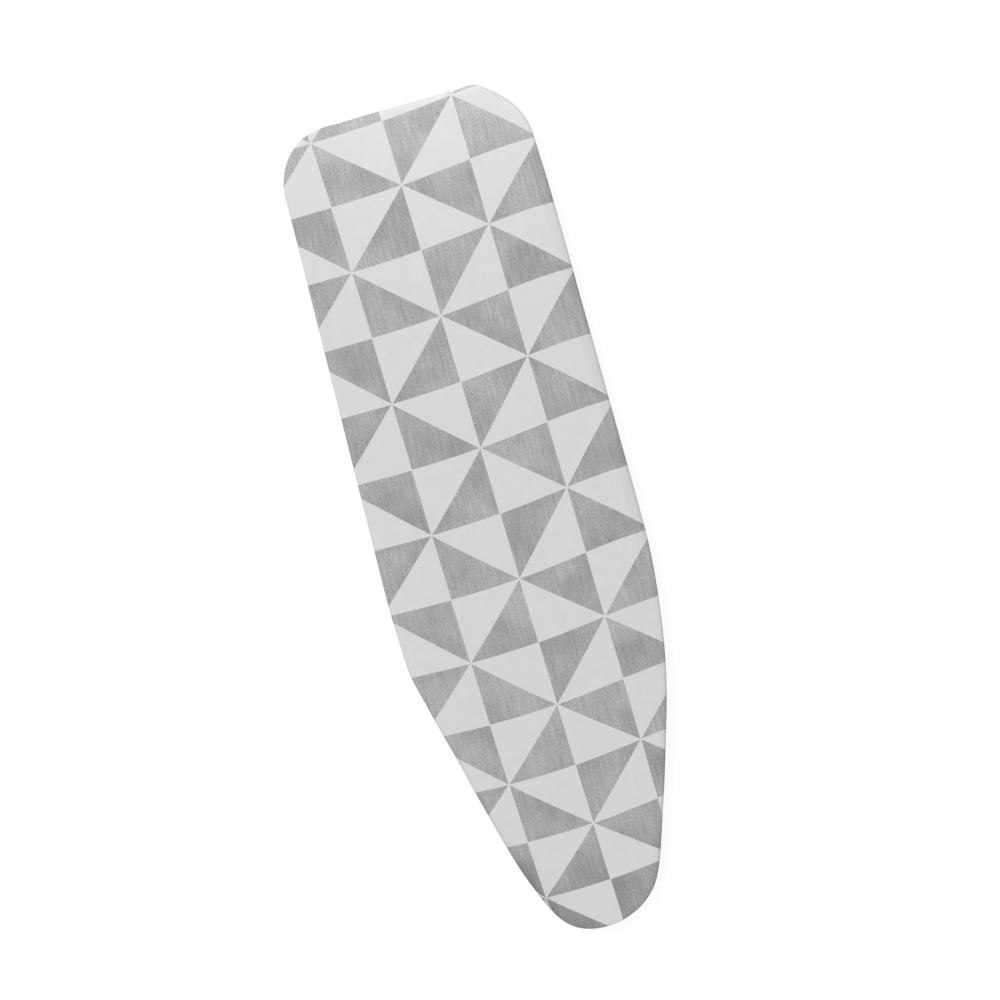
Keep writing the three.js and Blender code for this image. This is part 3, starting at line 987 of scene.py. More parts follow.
@dataclass(frozen=True)
class CoverSizes:
    """Sizes that the layers, the hem and the straps share.

    The roll is a superellipse. It is soft round a few headings of the outline: each of the soft
    rolls has its heading and spread in degrees and its share.
    """

    outline: BoardOutline = BoardOutline()
    fabric: float = 0.8 * MM
    foam: float = 5 * MM
    felt: float = 3 * MM
    gap: float = 0.3 * MM
    roll_width: float = 24 * MM
    roll_height: float = 10 * MM
    roll_power: float = 8.0
    soft_roll_power: float = 1.6
    soft_roll_fall: float = 5 * MM
    soft_rolls: tuple[tuple[float, float, float], ...] = (
        (-60.0, 20.0, 1.0),
        (60.0, 16.0, 0.6),
        (180.0, 32.0, 0.6),
        (132.0, 20.0, 0.7),
    )
    seat_line: float = 16.5 * MM
    seat_slope: float = 0.19
    seat_dent: float = 0.6 * MM
    seat_dent_width: float = 6 * MM
    seat_softness: float = 0.6 * MM
    seat_start: tuple[float, float] = (-0.50, -0.42)
    seat_stop: tuple[float, float] = (0.06, 0.16)
    seat_facing: float = 0.9
    top: float = 37.6 * MM
    skirt_low: float = 4.3 * MM
    lower_edge: float = 6 * MM
    skirt_depth: float = 52 * MM
    binding_start: float = 48 * MM
    binding_end: float = 62 * MM
    binding_low: float = 3.2 * MM
    binding_top: float = 6.2 * MM
    strap_width: float = 25 * MM
    strap_thickness: float = 1.0 * MM

    @property
    def roll_low(self) -> float:
        """Height at which the rolled edge meets the side."""
        return self.top - self.roll_height

    @property
    def foam_depth(self) -> float:
        """Depth of the foam under the outer face of the cloth."""
        return self.fabric + self.gap

    @property
    def felt_depth(self) -> float:
        """Depth of the felt under the outer face of the cloth."""
        return self.foam_depth + self.foam + self.gap

    @property
    def binding_middle(self) -> float:
        """Height of the middle between the binding's faces."""
        return (self.binding_low + self.binding_top) / 2

    def softness(self, trace: Trace) -> np.ndarray:
        """How soft the roll is: a bell round each of a few headings of the outline.

        Args:
            trace: The stations.

        Returns:
            0 where it is tight and 1 where it is softest, at each station.
        """
        heading = np.degrees(np.arctan2(trace.out[:, 1], trace.out[:, 0]))
        total = np.zeros(trace.count)
        for centre, spread, share in self.soft_rolls:
            away = (heading - centre + 180) % 360 - 180
            total += share * np.exp(-((away / spread) ** 2))
        return total

    def seat_fall(self, trace: Trace, inset: np.ndarray) -> np.ndarray:
        """How far the cover falls off outside the seat line, which shows along part of the +Y side.

        With s the distance outside the line and w a softness, the fall is
        slope * w * log(1 + exp(s / w)). Inside the line the top sinks by a shallow dent.

        Args:
            trace: The stations.
            inset: Insets at each row and station.

        Returns:
            The fall at each row and station.
        """
        x = trace.place[:, 0]
        part = smooth_step(x, *self.seat_start) * (1 - smooth_step(x, *self.seat_stop))
        part = part * (trace.out[:, 1] > self.seat_facing)
        outside = (self.seat_line - inset) / self.seat_softness
        slope = self.seat_slope * self.seat_softness * np.logaddexp(0, outside)
        dent = smooth_step(inset, self.seat_line, self.seat_line + self.seat_dent_width)
        return part * (slope + self.seat_dent * dent)

    def rolled_edge(
        self, trace: Trace, depth: float, shares: np.ndarray, low: float | None = None
    ) -> tuple[np.ndarray, np.ndarray]:
        """Insets and heights of a quarter superellipse. With t the angle from the side to the flat
        top and reach = (cos(t)^p + sin(t)^p)^(-1/p), the inset is w - (w - d) cos(t) reach and the
        height is low + (h - d) sin(t) reach.

        Args:
            trace: The stations.
            depth: How far it lies under the outer face of the cloth.
            shares: Share of the turn from the flat top to the side at each step.
            low: Height at which it stops, if it stops before the side.

        Returns:
            The insets and the heights at each step and station.
        """
        soft = self.softness(trace)
        power = self.roll_power + (self.soft_roll_power - self.roll_power) * soft
        tall = self.roll_height + self.soft_roll_fall * soft - depth
        foot = self.top - depth - tall
        last_up = np.zeros(trace.count) if low is None else (low - foot) / tall
        last = np.arctan2(last_up, (1 - last_up**power) ** (1 / power))
        turn = QUARTER_TURN - (QUARTER_TURN - last) * shares[:, None]
        across, up = np.clip(np.cos(turn), 0, 1), np.sin(turn)
        reach = (across**power + up**power) ** (-1 / power)
        inset = self.roll_width - (self.roll_width - depth) * across * reach
        return inset, foot + tall * up * reach - self.seat_fall(trace, inset)


@dataclass(frozen=True)
class Gathers:
    """The puckers that the elastic pulls into the skirt and the hem.

    The drop at a station is reach * pinch, summed over a train of wide folds and one of fine
    folds. The pinch is (0.5 + 0.5 cos phase) ^ power, and the phase is the sum of 2 pi / wavelength
    along the outline. Folds are deep where the outline bends sharply and faint along its sides.
    They deepen from a start inset to a full one, and the binding holds a share of them back.
    """

    sizes: CoverSizes
    wide_fold: float = 0.024
    fine_fold: float = 0.0105
    side_fold: float = 0.030
    deepest: float = 4.0 * MM
    pinch_power: float = 2.2
    side_share: float = 0.24
    wide_share: float = 0.62
    held_share: float = 0.62
    wide_start: float = 3 * MM
    wide_full: float = 26.4 * MM
    fine_start: float = 12 * MM
    fine_full: float = 38.4 * MM
    held_start: float = 36 * MM
    calm_span: tuple[float, float] = (0.0187, 0.051)
    sharp_bend: tuple[float, float] = (1.0, 7.0)

    def calm(self, trace: Trace) -> np.ndarray:
        """Share of the puckers left at each station: none beside the straps.

        Args:
            trace: The stations.

        Returns:
            The share at each station.
        """
        share = np.ones(trace.count)
        for strap in StrapPlace:
            away = np.abs(trace.place[:, 0] - strap.value + self.sizes.outline.length / 2)
            share = share * smooth_step(away, *self.calm_span)
        return share

    def corner_share(self, trace: Trace) -> np.ndarray:
        """1 at the heel corners and the nose, falling to 0 along the sides."""
        return smooth_step(trace.bend, *self.sharp_bend)

    def train(self, trace: Trace, fold: float, seed: int) -> np.ndarray:
        """One train of folds round the outline, from 0 between folds to 1 at their crests.

        Args:
            trace: The stations.
            fold: Wavelength at the corners.
            seed: Seed of the unevenness of the train.

        Returns:
            The pinch at each station.
        """
        random = np.random.default_rng(seed)
        corner = self.corner_share(trace)
        rate = corner / fold + (1 - corner) / self.side_fold
        steps = np.diff(np.append(trace.run, trace.perimeter))
        phase = np.concatenate([[0.0], np.cumsum(rate * steps)[:-1]])
        total = float(np.sum(rate * steps))
        phase = phase * (round(total) / total) * FULL_TURN
        uneven = sum(
            random.uniform(0.25, 0.6) * np.sin(rounds * trace.lap + random.uniform(0, FULL_TURN))
            for rounds in (23, 41, 59, 83)
        )
        slow = np.sin(31 * trace.lap + random.uniform(0, FULL_TURN)) * np.sin(13 * trace.lap)
        return (0.5 + 0.5 * np.cos(phase + uneven)) ** self.pinch_power * (0.72 + 0.28 * slow)

    def drop(self, trace: Trace, inset: np.ndarray) -> np.ndarray:
        """How far the cloth hangs below its flat skirt, for each inset and station.

        Args:
            trace: The stations.
            inset: Insets from the outline, for each row or for each row and station.

        Returns:
            The drop at each row and station.
        """
        inset = inset if inset.ndim == 2 else inset[:, None]
        corner = self.corner_share(trace)
        depth = self.deepest * (self.side_share + (1 - self.side_share) * corner) * self.calm(trace)
        early = smooth_step(inset, self.wide_start, self.wide_full)
        late = smooth_step(inset, self.fine_start, self.fine_full)
        hold = 1 - self.held_share * smooth_step(inset, self.held_start, self.sizes.binding_start)
        wide = self.wide_share * early * self.train(trace, self.wide_fold, 5)
        fine = (1 - self.wide_share) * late * self.train(trace, self.fine_fold, 9)
        return depth * hold * (wide + fine)


@dataclass
class LayeredSkin:
    """A closed layer carried round the outline and closed over the top by two spines.

    Attributes:
        trace: The stations.
        spine_start: Where the spine starts, near the heel.
        spine_end: Where it ends, near the nose.
    """

    trace: Trace
    spine_start: float = -0.52
    spine_end: float = 0.53

    def spine(self, height: float) -> np.ndarray:
        """Corners on the middle line, one for each station of the +Y half.

        Args:
            height: Height of the line.

        Returns:
            The corners, spaced as the stations are.
        """
        half = self.trace.count // 2 + 1
        share = self.trace.run[:half] / self.trace.run[half - 1]
        x = self.spine_start + (self.spine_end - self.spine_start) * share
        return np.stack([x, np.zeros(half), np.full(half, height)], axis=1)

    def top_rows(self, edge: np.ndarray, steps: int) -> np.ndarray:
        """Rows from the spine out to the edge of the flat top, without the spine itself.

        Args:
            edge: The row of corners at the edge of the flat top.
            steps: Number of rows.

        Returns:
            The rows, of which the last lies one step inside the edge.
        """
        spine = self.spine(float(edge[0, 2]))[self.trace.partner()]
        share = (np.arange(1, steps + 1) / (steps + 1)) ** 0.8
        return spine[None] + (edge - spine)[None] * share[:, None, None]

    def close(
        self, outer: np.ndarray, inner: np.ndarray, steps: tuple[int, int], cloth: np.ndarray | None = None
    ) -> Surface:
        """Closes a layer's two faces: over the top up to their spines, and round the lower edge.

        Args:
            outer: Rows of the outer face, from the edge of the flat top down.
            inner: Rows of the inner face, in the same order.
            steps: Number of rows from the spine to that edge, on each face.
            cloth: Pattern coordinates of both faces' rows, if they have any; the top's are its plan.

        Returns:
            The closed surface.
        """
        count = self.trace.count
        top, under = self.top_rows(outer[0], steps[0]), self.top_rows(inner[0], steps[1])[::-1]
        rows = np.concatenate([top, outer, inner[::-1], under])
        upper, lower = self.spine(float(rows[0, 0, 2])), self.spine(float(rows[-1, 0, 2]))
        partner = self.trace.partner()
        here = np.arange(count)
        beside = (here + 1) % count
        body = len(rows) * count
        last, base = body - count, body + len(upper)
        upper_faces = np.stack([body + partner, body + partner[beside], beside, here], axis=1)
        lower_faces = np.stack([last + here, last + beside, base + partner[beside], base + partner], axis=1)
        surface = Surface(
            np.concatenate([rows.reshape(-1, 3), upper, lower]),
            np.concatenate([closed_rows(len(rows), count), upper_faces, lower_faces]),
        )
        if cloth is not None:
            surface.pattern = surface.points[:, :2].copy()
            start = len(top) * count
            both = np.concatenate([cloth, cloth[::-1]]).reshape(-1, 2)
            surface.pattern[start : start + len(both)] = both
        return surface


# Sub-assemblies


@dataclass
class PrintedCover:
    """The printed cotton: top, rolled edge, side, lower edge and gathered skirt, with two faces.

    The roll's shares are those of its turn at each of its rows. The top's steps are those of the
    outer and of the inner face.
    """

    sizes: CoverSizes
    gathers: Gathers
    finish: PrintedCottonFinish
    wall_steps: int = 4
    lower_steps: int = 4
    skirt_steps: int = 16
    top_steps: tuple[int, int] = (5, 3)
    flat_insets: tuple[float, ...] = (0.040, 0.031, 0.0275)
    roll_shares: tuple[float, ...] = (
        0, 0.08, 0.143, 0.173, 0.19, 0.207, 0.229, 0.262, 0.337,
        0.393, 0.446, 0.488, 0.534, 0.582, 0.65, 0.79, 1,
    )
    side_fold_depth: float = 0.7 * MM
    flat: tuple[float, float] = field(init=False)
    area: float = field(init=False)

    def section(self, trace: Trace) -> tuple[np.ndarray, np.ndarray, int]:
        """The outer face from a little inside the edge of the flat top down to the hem.

        Args:
            trace: The stations.

        Returns:
            Insets, heights, and the number of the row where the side starts.
        """
        sizes = self.sizes
        everywhere = np.ones((1, trace.count))
        flat = np.array(self.flat_insets)[:, None] * everywhere
        flat_height = sizes.top - sizes.seat_fall(trace, flat)
        roll_inset, roll_height = sizes.rolled_edge(trace, 0.0, np.array(self.roll_shares))
        wall_low = sizes.skirt_low + sizes.lower_edge
        share = np.linspace(0, 1, self.wall_steps + 1)[1:, None]
        wall = roll_height[-1] + (wall_low - roll_height[-1]) * share
        turn = np.linspace(0, QUARTER_TURN, self.lower_steps + 1)[1:]
        lower_inset = sizes.lower_edge * (1 - np.cos(turn))
        lower_height = wall_low - sizes.lower_edge * np.sin(turn)
        skirt = np.linspace(sizes.lower_edge, sizes.skirt_depth, self.skirt_steps + 1)[1:]
        below_inset = np.concatenate([np.zeros(self.wall_steps), lower_inset, skirt])
        below_height = np.concatenate([lower_height, np.full(self.skirt_steps, sizes.skirt_low)])
        inset = np.concatenate([flat, roll_inset, below_inset[:, None] * everywhere])
        height = np.concatenate([flat_height, roll_height, wall, below_height[:, None] * everywhere])
        return inset, height, len(flat) + len(roll_inset) - 1

    def inner_section(self, inset: np.ndarray, height: np.ndarray) -> tuple[np.ndarray, np.ndarray]:
        """The inner face: the outer one moved square to itself by the cloth's thickness.

        Args:
            inset: Insets of the outer face.
            height: Heights of the outer face.

        Returns:
            Insets and heights of the inner face.
        """
        along = np.stack([np.gradient(inset, axis=0), np.gradient(height, axis=0)])
        along /= np.linalg.norm(along, axis=0)
        fabric, flat = self.sizes.fabric, len(self.flat_insets)
        inner_inset, inner_height = inset - along[1] * fabric, height + along[0] * fabric
        inner_height = np.minimum(inner_height, self.sizes.top - fabric)
        inner_inset[:flat], inner_height[:flat] = inset[:flat], height[:flat] - fabric
        return inner_inset, inner_height

    def side_ripple(self, trace: Trace, height: np.ndarray) -> np.ndarray:
        """How far the side is drawn in at each row and station, where folds run up it.

        Args:
            trace: The stations.
            height: Heights at each row and station.

        Returns:
            The inward moves.
        """
        low, high = self.sizes.skirt_low, self.sizes.roll_low - self.sizes.soft_roll_fall
        middle = low + self.sizes.lower_edge
        share = smooth_step(height, low, middle) * (1 - smooth_step(height, middle, high))
        folds = self.gathers.train(trace, self.gathers.wide_fold, 5) * self.gathers.corner_share(trace)
        return self.side_fold_depth * share * folds[None]

    def build(self) -> bpy.types.Object:
        """Makes the cloth. Its pattern coordinates are the place in plan on the top, and further
        down the outline moved straight out by the length of cloth from there. Where the cloth is
        less steep than one in one, its length in plan counts.

        Returns:
            The cloth; its cut size is kept in flat and area.
        """
        trace = self.sizes.outline.trace()
        inset, height, side_row = self.section(trace)
        inward, down = np.abs(np.diff(inset, axis=0)), np.abs(np.diff(height, axis=0))
        steps = np.hypot(inward, down)
        printed = np.cumsum(np.where(inward > down, inward, steps), axis=0)
        printed_inset = inset[0] - np.concatenate([np.zeros((1, trace.count)), printed])
        cloth = trace.at_inset(printed_inset, np.zeros(len(inset)))[:, :, :2]
        drop = self.gathers.drop(trace, inset)
        drop[: side_row + 1] = 0
        ripple = self.side_ripple(trace, height)
        outer, inner = (
            trace.at_inset(across + ripple, up - drop)
            for across, up in ((inset, height), self.inner_section(inset, height))
        )
        surface = LayeredSkin(trace).close(outer, inner, self.top_steps, cloth)
        made = surface.build("cover_cloth", self.finish.build())
        self.flat, self.area = trace.cut(inset[0] - steps.sum(axis=0))
        return dress(made, "cover", "printed_cotton", "cover_fabric")


@dataclass
class PadLayer:
    """One padding layer: a sheet under the top that bends down round the rim of the board."""

    sizes: CoverSizes
    name: str
    slot: str
    depth: float
    thickness: float
    finish: Finish
    roll_steps: int = 9
    top_steps: tuple[int, int] = (6, 6)
    flat: tuple[float, float] = field(init=False)
    area: float = field(init=False)

    def build(self) -> bpy.types.Object:
        """Makes the layer between its two rolled edges.

        Returns:
            The layer; its cut size is kept in flat and area.
        """
        trace = self.sizes.outline.trace(0.5)
        shares = np.linspace(0, 1, self.roll_steps + 1)
        outer, (inset, height), inner = (
            self.sizes.rolled_edge(trace, self.depth + part * self.thickness, shares, self.sizes.roll_low)
            for part in (0.0, 0.5, 1.0)
        )
        surface = LayeredSkin(trace).close(trace.at_inset(*outer), trace.at_inset(*inner), self.top_steps)
        made = surface.build(self.name, self.finish.build())
        rolled = np.hypot(np.diff(inset, axis=0), np.diff(height, axis=0)).sum(axis=0)
        self.flat, self.area = trace.cut(self.sizes.roll_width - rolled)
        return dress(made, "cover", self.slot, f"{self.slot}_pad")


@dataclass
class ElasticHem:
    """The hem: a folded binding, the elastic inside it and the stitches that hold it."""

    sizes: CoverSizes
    gathers: Gathers
    binding_finish: TapeFinish
    elastic_finish: TapeFinish
    thread_finish: MouldedFinish
    fineness: float = 2.4
    wall: float = 0.8 * MM
    wing_steps: int = 6
    elastic_start: float = 52.3 * MM
    elastic_width: float = 8.2 * MM
    crimp: float = 0.22 * MM
    crimp_length: float = 7 * MM
    stitch_inset: float = 50.2 * MM
    stitch_length: float = 2.7 * MM
    stitch_pitch: float = 3.4 * MM
    thread: float = 0.42 * MM
    thread_stand: float = 0.063 * MM

    def ring(
        self, trace: Trace, inset: np.ndarray, height: np.ndarray, extra: np.ndarray | float = 0.0
    ) -> Surface:
        """A closed profile carried round the outline, with the gathers of the skirt at its hem.

        Args:
            trace: The stations.
            inset: Insets of the profile's corners.
            height: Heights of the profile's corners.
            extra: Further height at each corner and station.

        Returns:
            The ring. Its pattern runs along the hem and then round the profile.
        """
        drop = self.gathers.drop(trace, np.array([self.sizes.binding_start]))
        rows = trace.at_inset(inset, height[:, None] - drop + extra)
        spent = np.concatenate([[0.0], np.cumsum(np.hypot(np.diff(inset), np.diff(height)))])
        pattern = np.stack(np.broadcast_arrays(trace.run, spent[:, None]), axis=2)
        quads = closed_rows(len(inset), trace.count, rows_close=True)
        return Surface(rows.reshape(-1, 3), quads, pattern=pattern.reshape(-1, 2), around=trace.perimeter)

    def crimps(self, trace: Trace) -> np.ndarray:
        """Small crimps that the gathered stitches put into the binding: a sine along the hem."""
        rounds, lap = round(trace.perimeter / self.crimp_length), trace.lap
        return self.crimp * np.sin(rounds * lap + 0.8 * np.sin(37 * lap) + 0.5 * np.sin(61 * lap))

    def binding(self) -> bpy.types.Object:
        """The binding: two flat wings joined by a half round fold, with a wall of one thickness.

        Returns:
            The piece.
        """
        sizes = self.sizes
        trace = sizes.outline.trace(self.fineness)
        middle = sizes.binding_middle
        outer_radius = middle - sizes.binding_low
        centre = sizes.binding_end - outer_radius
        turn = np.linspace(-QUARTER_TURN, QUARTER_TURN, 9)
        wing = np.linspace(sizes.binding_start, centre, self.wing_steps + 1)[:-1]
        level = np.ones(self.wing_steps)
        faces = [
            np.stack(
                [
                    np.concatenate([wing, centre + radius * np.cos(turn), wing[::-1]]),
                    middle + radius * np.concatenate([-level, np.sin(turn), level]),
                ]
            )
            for radius in (outer_radius, outer_radius - self.wall)
        ]
        inset, height = np.concatenate([faces[0], faces[1][:, ::-1]], axis=1)
        free = smooth_step(inset, sizes.skirt_depth, sizes.binding_end)
        surface = self.ring(trace, inset, height, free[:, None] * self.crimps(trace)[None])
        made = surface.build("hem_binding_tape", self.binding_finish.build())
        return dress(made, "cover", "binding", "hem_binding")

    def elastic(self) -> bpy.types.Object:
        """The elastic: a flat band with round edges inside the fold of the binding.

        Returns:
            The piece.
        """
        middle = self.sizes.binding_middle
        across = np.linspace(self.elastic_start, self.elastic_start + self.elastic_width, 9)
        share = (across - across.mean()) / (self.elastic_width * 0.53)
        half = self.wall / 2 * np.sqrt(np.clip(1 - share**6, 0.05, 1))
        inset = np.concatenate([across, across[::-1]])
        height = np.concatenate([middle - half, middle + half[::-1]])
        surface = self.ring(self.sizes.outline.trace(), inset, height)
        made = surface.build("hem_elastic_band", self.elastic_finish.build())
        return dress(made, "cover", "elastic", "hem_elastic")

    def stitches(self) -> bpy.types.Object:
        """A row of stitches on each face of the binding, close to its free edges.

        Returns:
            The piece.
        """
        trace = self.sizes.outline.trace(self.fineness)
        drop = self.gathers.drop(trace, np.array([self.sizes.binding_start]))
        low, high = self.sizes.binding_low - self.thread_stand, self.sizes.binding_top + self.thread_stand
        lines = (trace.at_inset(np.array([self.stitch_inset]), level - drop)[0] for level in (low, high))
        rows = (stitch_row(line, self.stitch_pitch, self.stitch_length, self.thread) for line in lines)
        made = merged(*rows).build("hem_stitching", self.thread_finish.build())
        return dress(made, "cover", "binding")


@dataclass
class ClosingStrap:
    """One strap across the underside: webbing, hook tape on it, loop patch on the far skirt.

    A hook leans over by its bend, in millimetres, and stands up by a share of its height, at each
    step from its foot to its tip. A loop's span, fall and scatter are in millimetres too.
    """

    sizes: CoverSizes
    place: StrapPlace
    webbing_finish: TapeFinish
    hook_finish: MouldedFinish
    loop_finish: FibreFinish
    thread_finish: MouldedFinish
    root_length: float = 13 * MM
    descent: float = 60 * MM
    root_low: float = 1.9 * MM
    tip_radius: float = 8 * MM
    tip_past_tape: float = 4 * MM
    rib: float = 0.06 * MM
    ribs: int = 12
    bend_start: float = -2 * MM
    bend_stop: float = 9 * MM
    tape_width: float = 21 * MM
    hook_low: float = 1.3 * MM
    hook_base: float = 0.42 * MM
    hook_top: float = 1.08 * MM
    hook_length: float = 34 * MM
    hook_pitch: float = 1.45 * MM
    hook_margin: float = 1.6 * MM
    hook_wire: float = 0.12 * MM
    hook_taper: tuple[float, float] = (1.15, 0.65)
    hook_sunk: float = 0.05 * MM
    hook_bend: tuple[float, ...] = (0, 0, 0.02, 0.12, 0.42, 0.62, 0.66)
    hook_rise: tuple[float, ...] = (0, 0.4, 0.75, 0.97, 1.0, 0.85, 0.68)
    loop_low: float = 2.8 * MM
    loop_thickness: float = 1.2 * MM
    loop_base: float = 0.5 * MM
    loop_length: float = 36 * MM
    loop_margin: float = 2 * MM
    loop_pitch: float = 1.05 * MM
    loop_rim: float = 1.2 * MM
    loop_wire: float = 0.07 * MM
    loop_span: tuple[float, float] = (0.35, 0.5)
    loop_fall: tuple[float, float] = (0.45, 0.62)
    loop_scatter: float = 0.35
    loop_sunk: float = 0.03 * MM
    thread: float = 0.4 * MM
    stitch_length: float = 2.5 * MM
    stitch_pitch: float = 3.1 * MM
    stitch_stand: float = 0.14 * MM
    label: str = field(init=False)
    x: float = field(init=False)
    fold_y: float = field(init=False)
    close_y: float = field(init=False)
    tip_y: float = field(init=False)
    length: float = field(init=False)

    def __post_init__(self) -> None:
        """Works out where the strap folds, closes and ends."""
        outline = self.sizes.outline
        self.label = self.place.name.lower()
        self.x = self.place.value - outline.length / 2
        side = outline.half_width_at(self.x)
        self.fold_y = self.sizes.binding_end - side
        self.close_y = side - self.sizes.binding_start + self.loop_margin + self.loop_length / 2
        self.tip_y = self.close_y + self.hook_length / 2 + self.tip_past_tape

    def low_at(self, y: np.ndarray) -> np.ndarray:
        """Height of the webbing's lower face: level at the root, then smoothly down to the ground."""
        return self.root_low * (1 - smooth_step(y, self.fold_y, self.fold_y + self.descent))

    def webbing(self) -> bpy.types.Object:
        """The webbing from its sewn root to its rounded tip: a grid of places along and across,
        with a rib |sin| across its width on both faces.

        Returns:
            The piece; its length is kept in length.
        """
        tip = self.tip_y - self.tip_radius
        flat = np.linspace(self.fold_y - self.sizes.gap - self.root_length, tip, 190)
        turn = np.linspace(0, QUARTER_TURN, 13)[1:]
        y = np.concatenate([flat, tip + self.tip_radius * np.sin(turn)])
        half = self.sizes.strap_width / 2
        width = np.concatenate([np.full(len(flat), half), half - self.tip_radius * (1 - np.cos(turn))])
        across = np.linspace(-1, 1, 37)
        rounding = np.sqrt(np.clip(1 - np.abs(across) ** 24, 0.08, 1))
        rib = self.rib * np.abs(np.sin(across * math.pi * self.ribs / 2))
        thick = (self.sizes.strap_thickness - self.stitch_stand) / 2
        half_height = (thick - self.rib + rib) * rounding
        middle = self.low_at(y) + self.stitch_stand + thick
        self.length = float(np.hypot(np.diff(y), np.diff(middle)).sum())
        LOG.info("strap %s: %.4f m of webbing", self.label, self.length)
        x = width[:, None] * np.concatenate([across, across[::-1]])
        z = middle[:, None] + np.concatenate([half_height, -half_height[::-1]])
        columns = x.shape[1]
        y = np.broadcast_to(y[:, None], x.shape)
        points = np.stack([self.x + x, y, z], axis=2).reshape(-1, 3)
        here = np.arange(len(across) - 1)
        mirror = columns - 1 - here
        cap = np.stack([here, here + 1, mirror - 1, mirror], axis=1)
        last = (len(x) - 1) * columns
        quads = np.concatenate([closed_rows(len(x), columns), cap[:, ::-1], last + cap])
        surface = Surface(points, quads, pattern=np.stack([y, x], axis=2).reshape(-1, 2))
        made = surface.build(f"strap_webbing_{self.label}", self.webbing_finish.build())
        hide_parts(f"strap_root_{self.label}", f"strap_band_{self.label}")
        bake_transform(made)
        return made

    def tape_slab(self, length: float, low: float, high: float) -> Surface:
        """A tape with rounded corners and edges: a rounded rectangle |x/a|^8 + |y/b|^8 = 1 that
        shrinks a little at its upper and lower face, closed by two middle poles.

        Args:
            length: Length of the tape.
            low: Height of its lower face.
            high: Height of its upper face.

        Returns:
            The slab, where the strap closes.
        """
        turn = np.linspace(0, FULL_TURN, 96, endpoint=False)
        reach = (np.abs(np.cos(turn)) ** 8 + np.abs(np.sin(turn)) ** 8) ** (-1 / 8)
        half = np.array([self.tape_width / 2, length / 2])
        plan = half * (reach * np.stack([np.cos(turn), np.sin(turn)])).T
        edge = (high - low) * 0.3
        share = np.array([0.5, 1 - edge / half[1], 1.0])
        height = np.array([low, low, low + edge, high - edge, high, high])
        share = np.concatenate([share, share[::-1]])[:, None, None]
        rows = np.concatenate(
            [plan * share, np.broadcast_to(height[:, None, None], (len(height), len(plan), 1))], axis=2
        )
        points = np.concatenate([rows.reshape(-1, 3), [[0, 0, low], [0, 0, high]]])
        points = points + np.array([self.x, self.close_y, 0])
        return Surface(points, closed_rows(len(height), len(plan)), end_fans(len(height), len(plan)))

    def grid_in_tape(self, length: float, pitch: float, margin: float) -> np.ndarray:
        """Places in rows over a tape, each row moved by half a pitch from the one before.

        Args:
            length: Length of the tape.
            pitch: Distance between places.
            margin: Bare rim round them.

        Returns:
            The places in plan.
        """
        x = np.arange(-self.tape_width / 2 + margin, self.tape_width / 2 - margin, pitch)
        y = np.arange(-length / 2 + margin, length / 2 - margin, pitch)
        across, along = np.meshgrid(x, y)
        across = across + (np.arange(len(y)) % 2 * pitch / 2)[:, None]
        return np.stack([self.x + across.ravel(), self.close_y + along.ravel()], axis=1)

    def hook_tape(self) -> bpy.types.Object:
        """Hook tape: a thin slab with rows of small bent hooks that stand up towards the loops.

        Returns:
            The piece.
        """
        base = self.hook_low + self.hook_base
        slab = self.tape_slab(self.hook_length, self.hook_low, base)
        feet = self.grid_in_tape(self.hook_length, self.hook_pitch, self.hook_margin)
        facing = np.where(np.arange(len(feet)) % 2 == 0, 1.0, -1.0)
        rise = (self.hook_top - self.hook_base) * np.array(self.hook_rise)
        paths = np.empty((len(feet), len(rise), 3))
        paths[:, :, 0] = feet[:, :1]
        paths[:, :, 1] = feet[:, 1:] + facing[:, None] * (np.array(self.hook_bend) * MM)
        paths[:, :, 2] = base - self.hook_sunk + rise
        side = facing[:, None] * np.array([1.0, 0.0, 0.0])
        radii = self.hook_wire * np.linspace(*self.hook_taper, len(rise))
        hooks = tube_bundle(paths, radii, side, 5)
        made = merged(slab, hooks).build(f"hook_tape_rows_{self.label}", self.hook_finish.build())
        return dress(made, f"strap_{self.label}", "hook", f"hook_tape_{self.label}")

    def loop_patch(self) -> bpy.types.Object:
        """Loop patch: a thin slab with a pile of small thread arches that hang towards the hooks.

        Returns:
            The piece.
        """
        high = self.loop_low + self.loop_thickness
        base = high - self.loop_base
        slab = self.tape_slab(self.loop_length, base, high)
        random = np.random.default_rng(17)
        feet = self.grid_in_tape(self.loop_length, self.loop_pitch, self.loop_rim)
        feet = feet + random.uniform(-self.loop_scatter, self.loop_scatter, feet.shape) * MM
        heading = random.uniform(0, FULL_TURN, len(feet))[:, None]
        turn = np.linspace(0, math.pi, 7)
        span = random.uniform(*self.loop_span, len(feet))[:, None] * MM * np.cos(turn)
        fall = random.uniform(*self.loop_fall, len(feet))[:, None] * MM * np.sin(turn)
        x, y = feet[:, :1] + span * np.cos(heading), feet[:, 1:] + span * np.sin(heading)
        paths = np.stack([x, y, base + self.loop_sunk - fall], axis=2)
        side = np.column_stack([-np.sin(heading), np.cos(heading), np.zeros(len(feet))])
        loops = tube_bundle(paths, np.full(len(turn), self.loop_wire), side, 4)
        made = merged(slab, loops).build(f"loop_patch_pile_{self.label}", self.loop_finish.build())
        return dress(made, "cover", "loop", f"loop_patch_{self.label}")

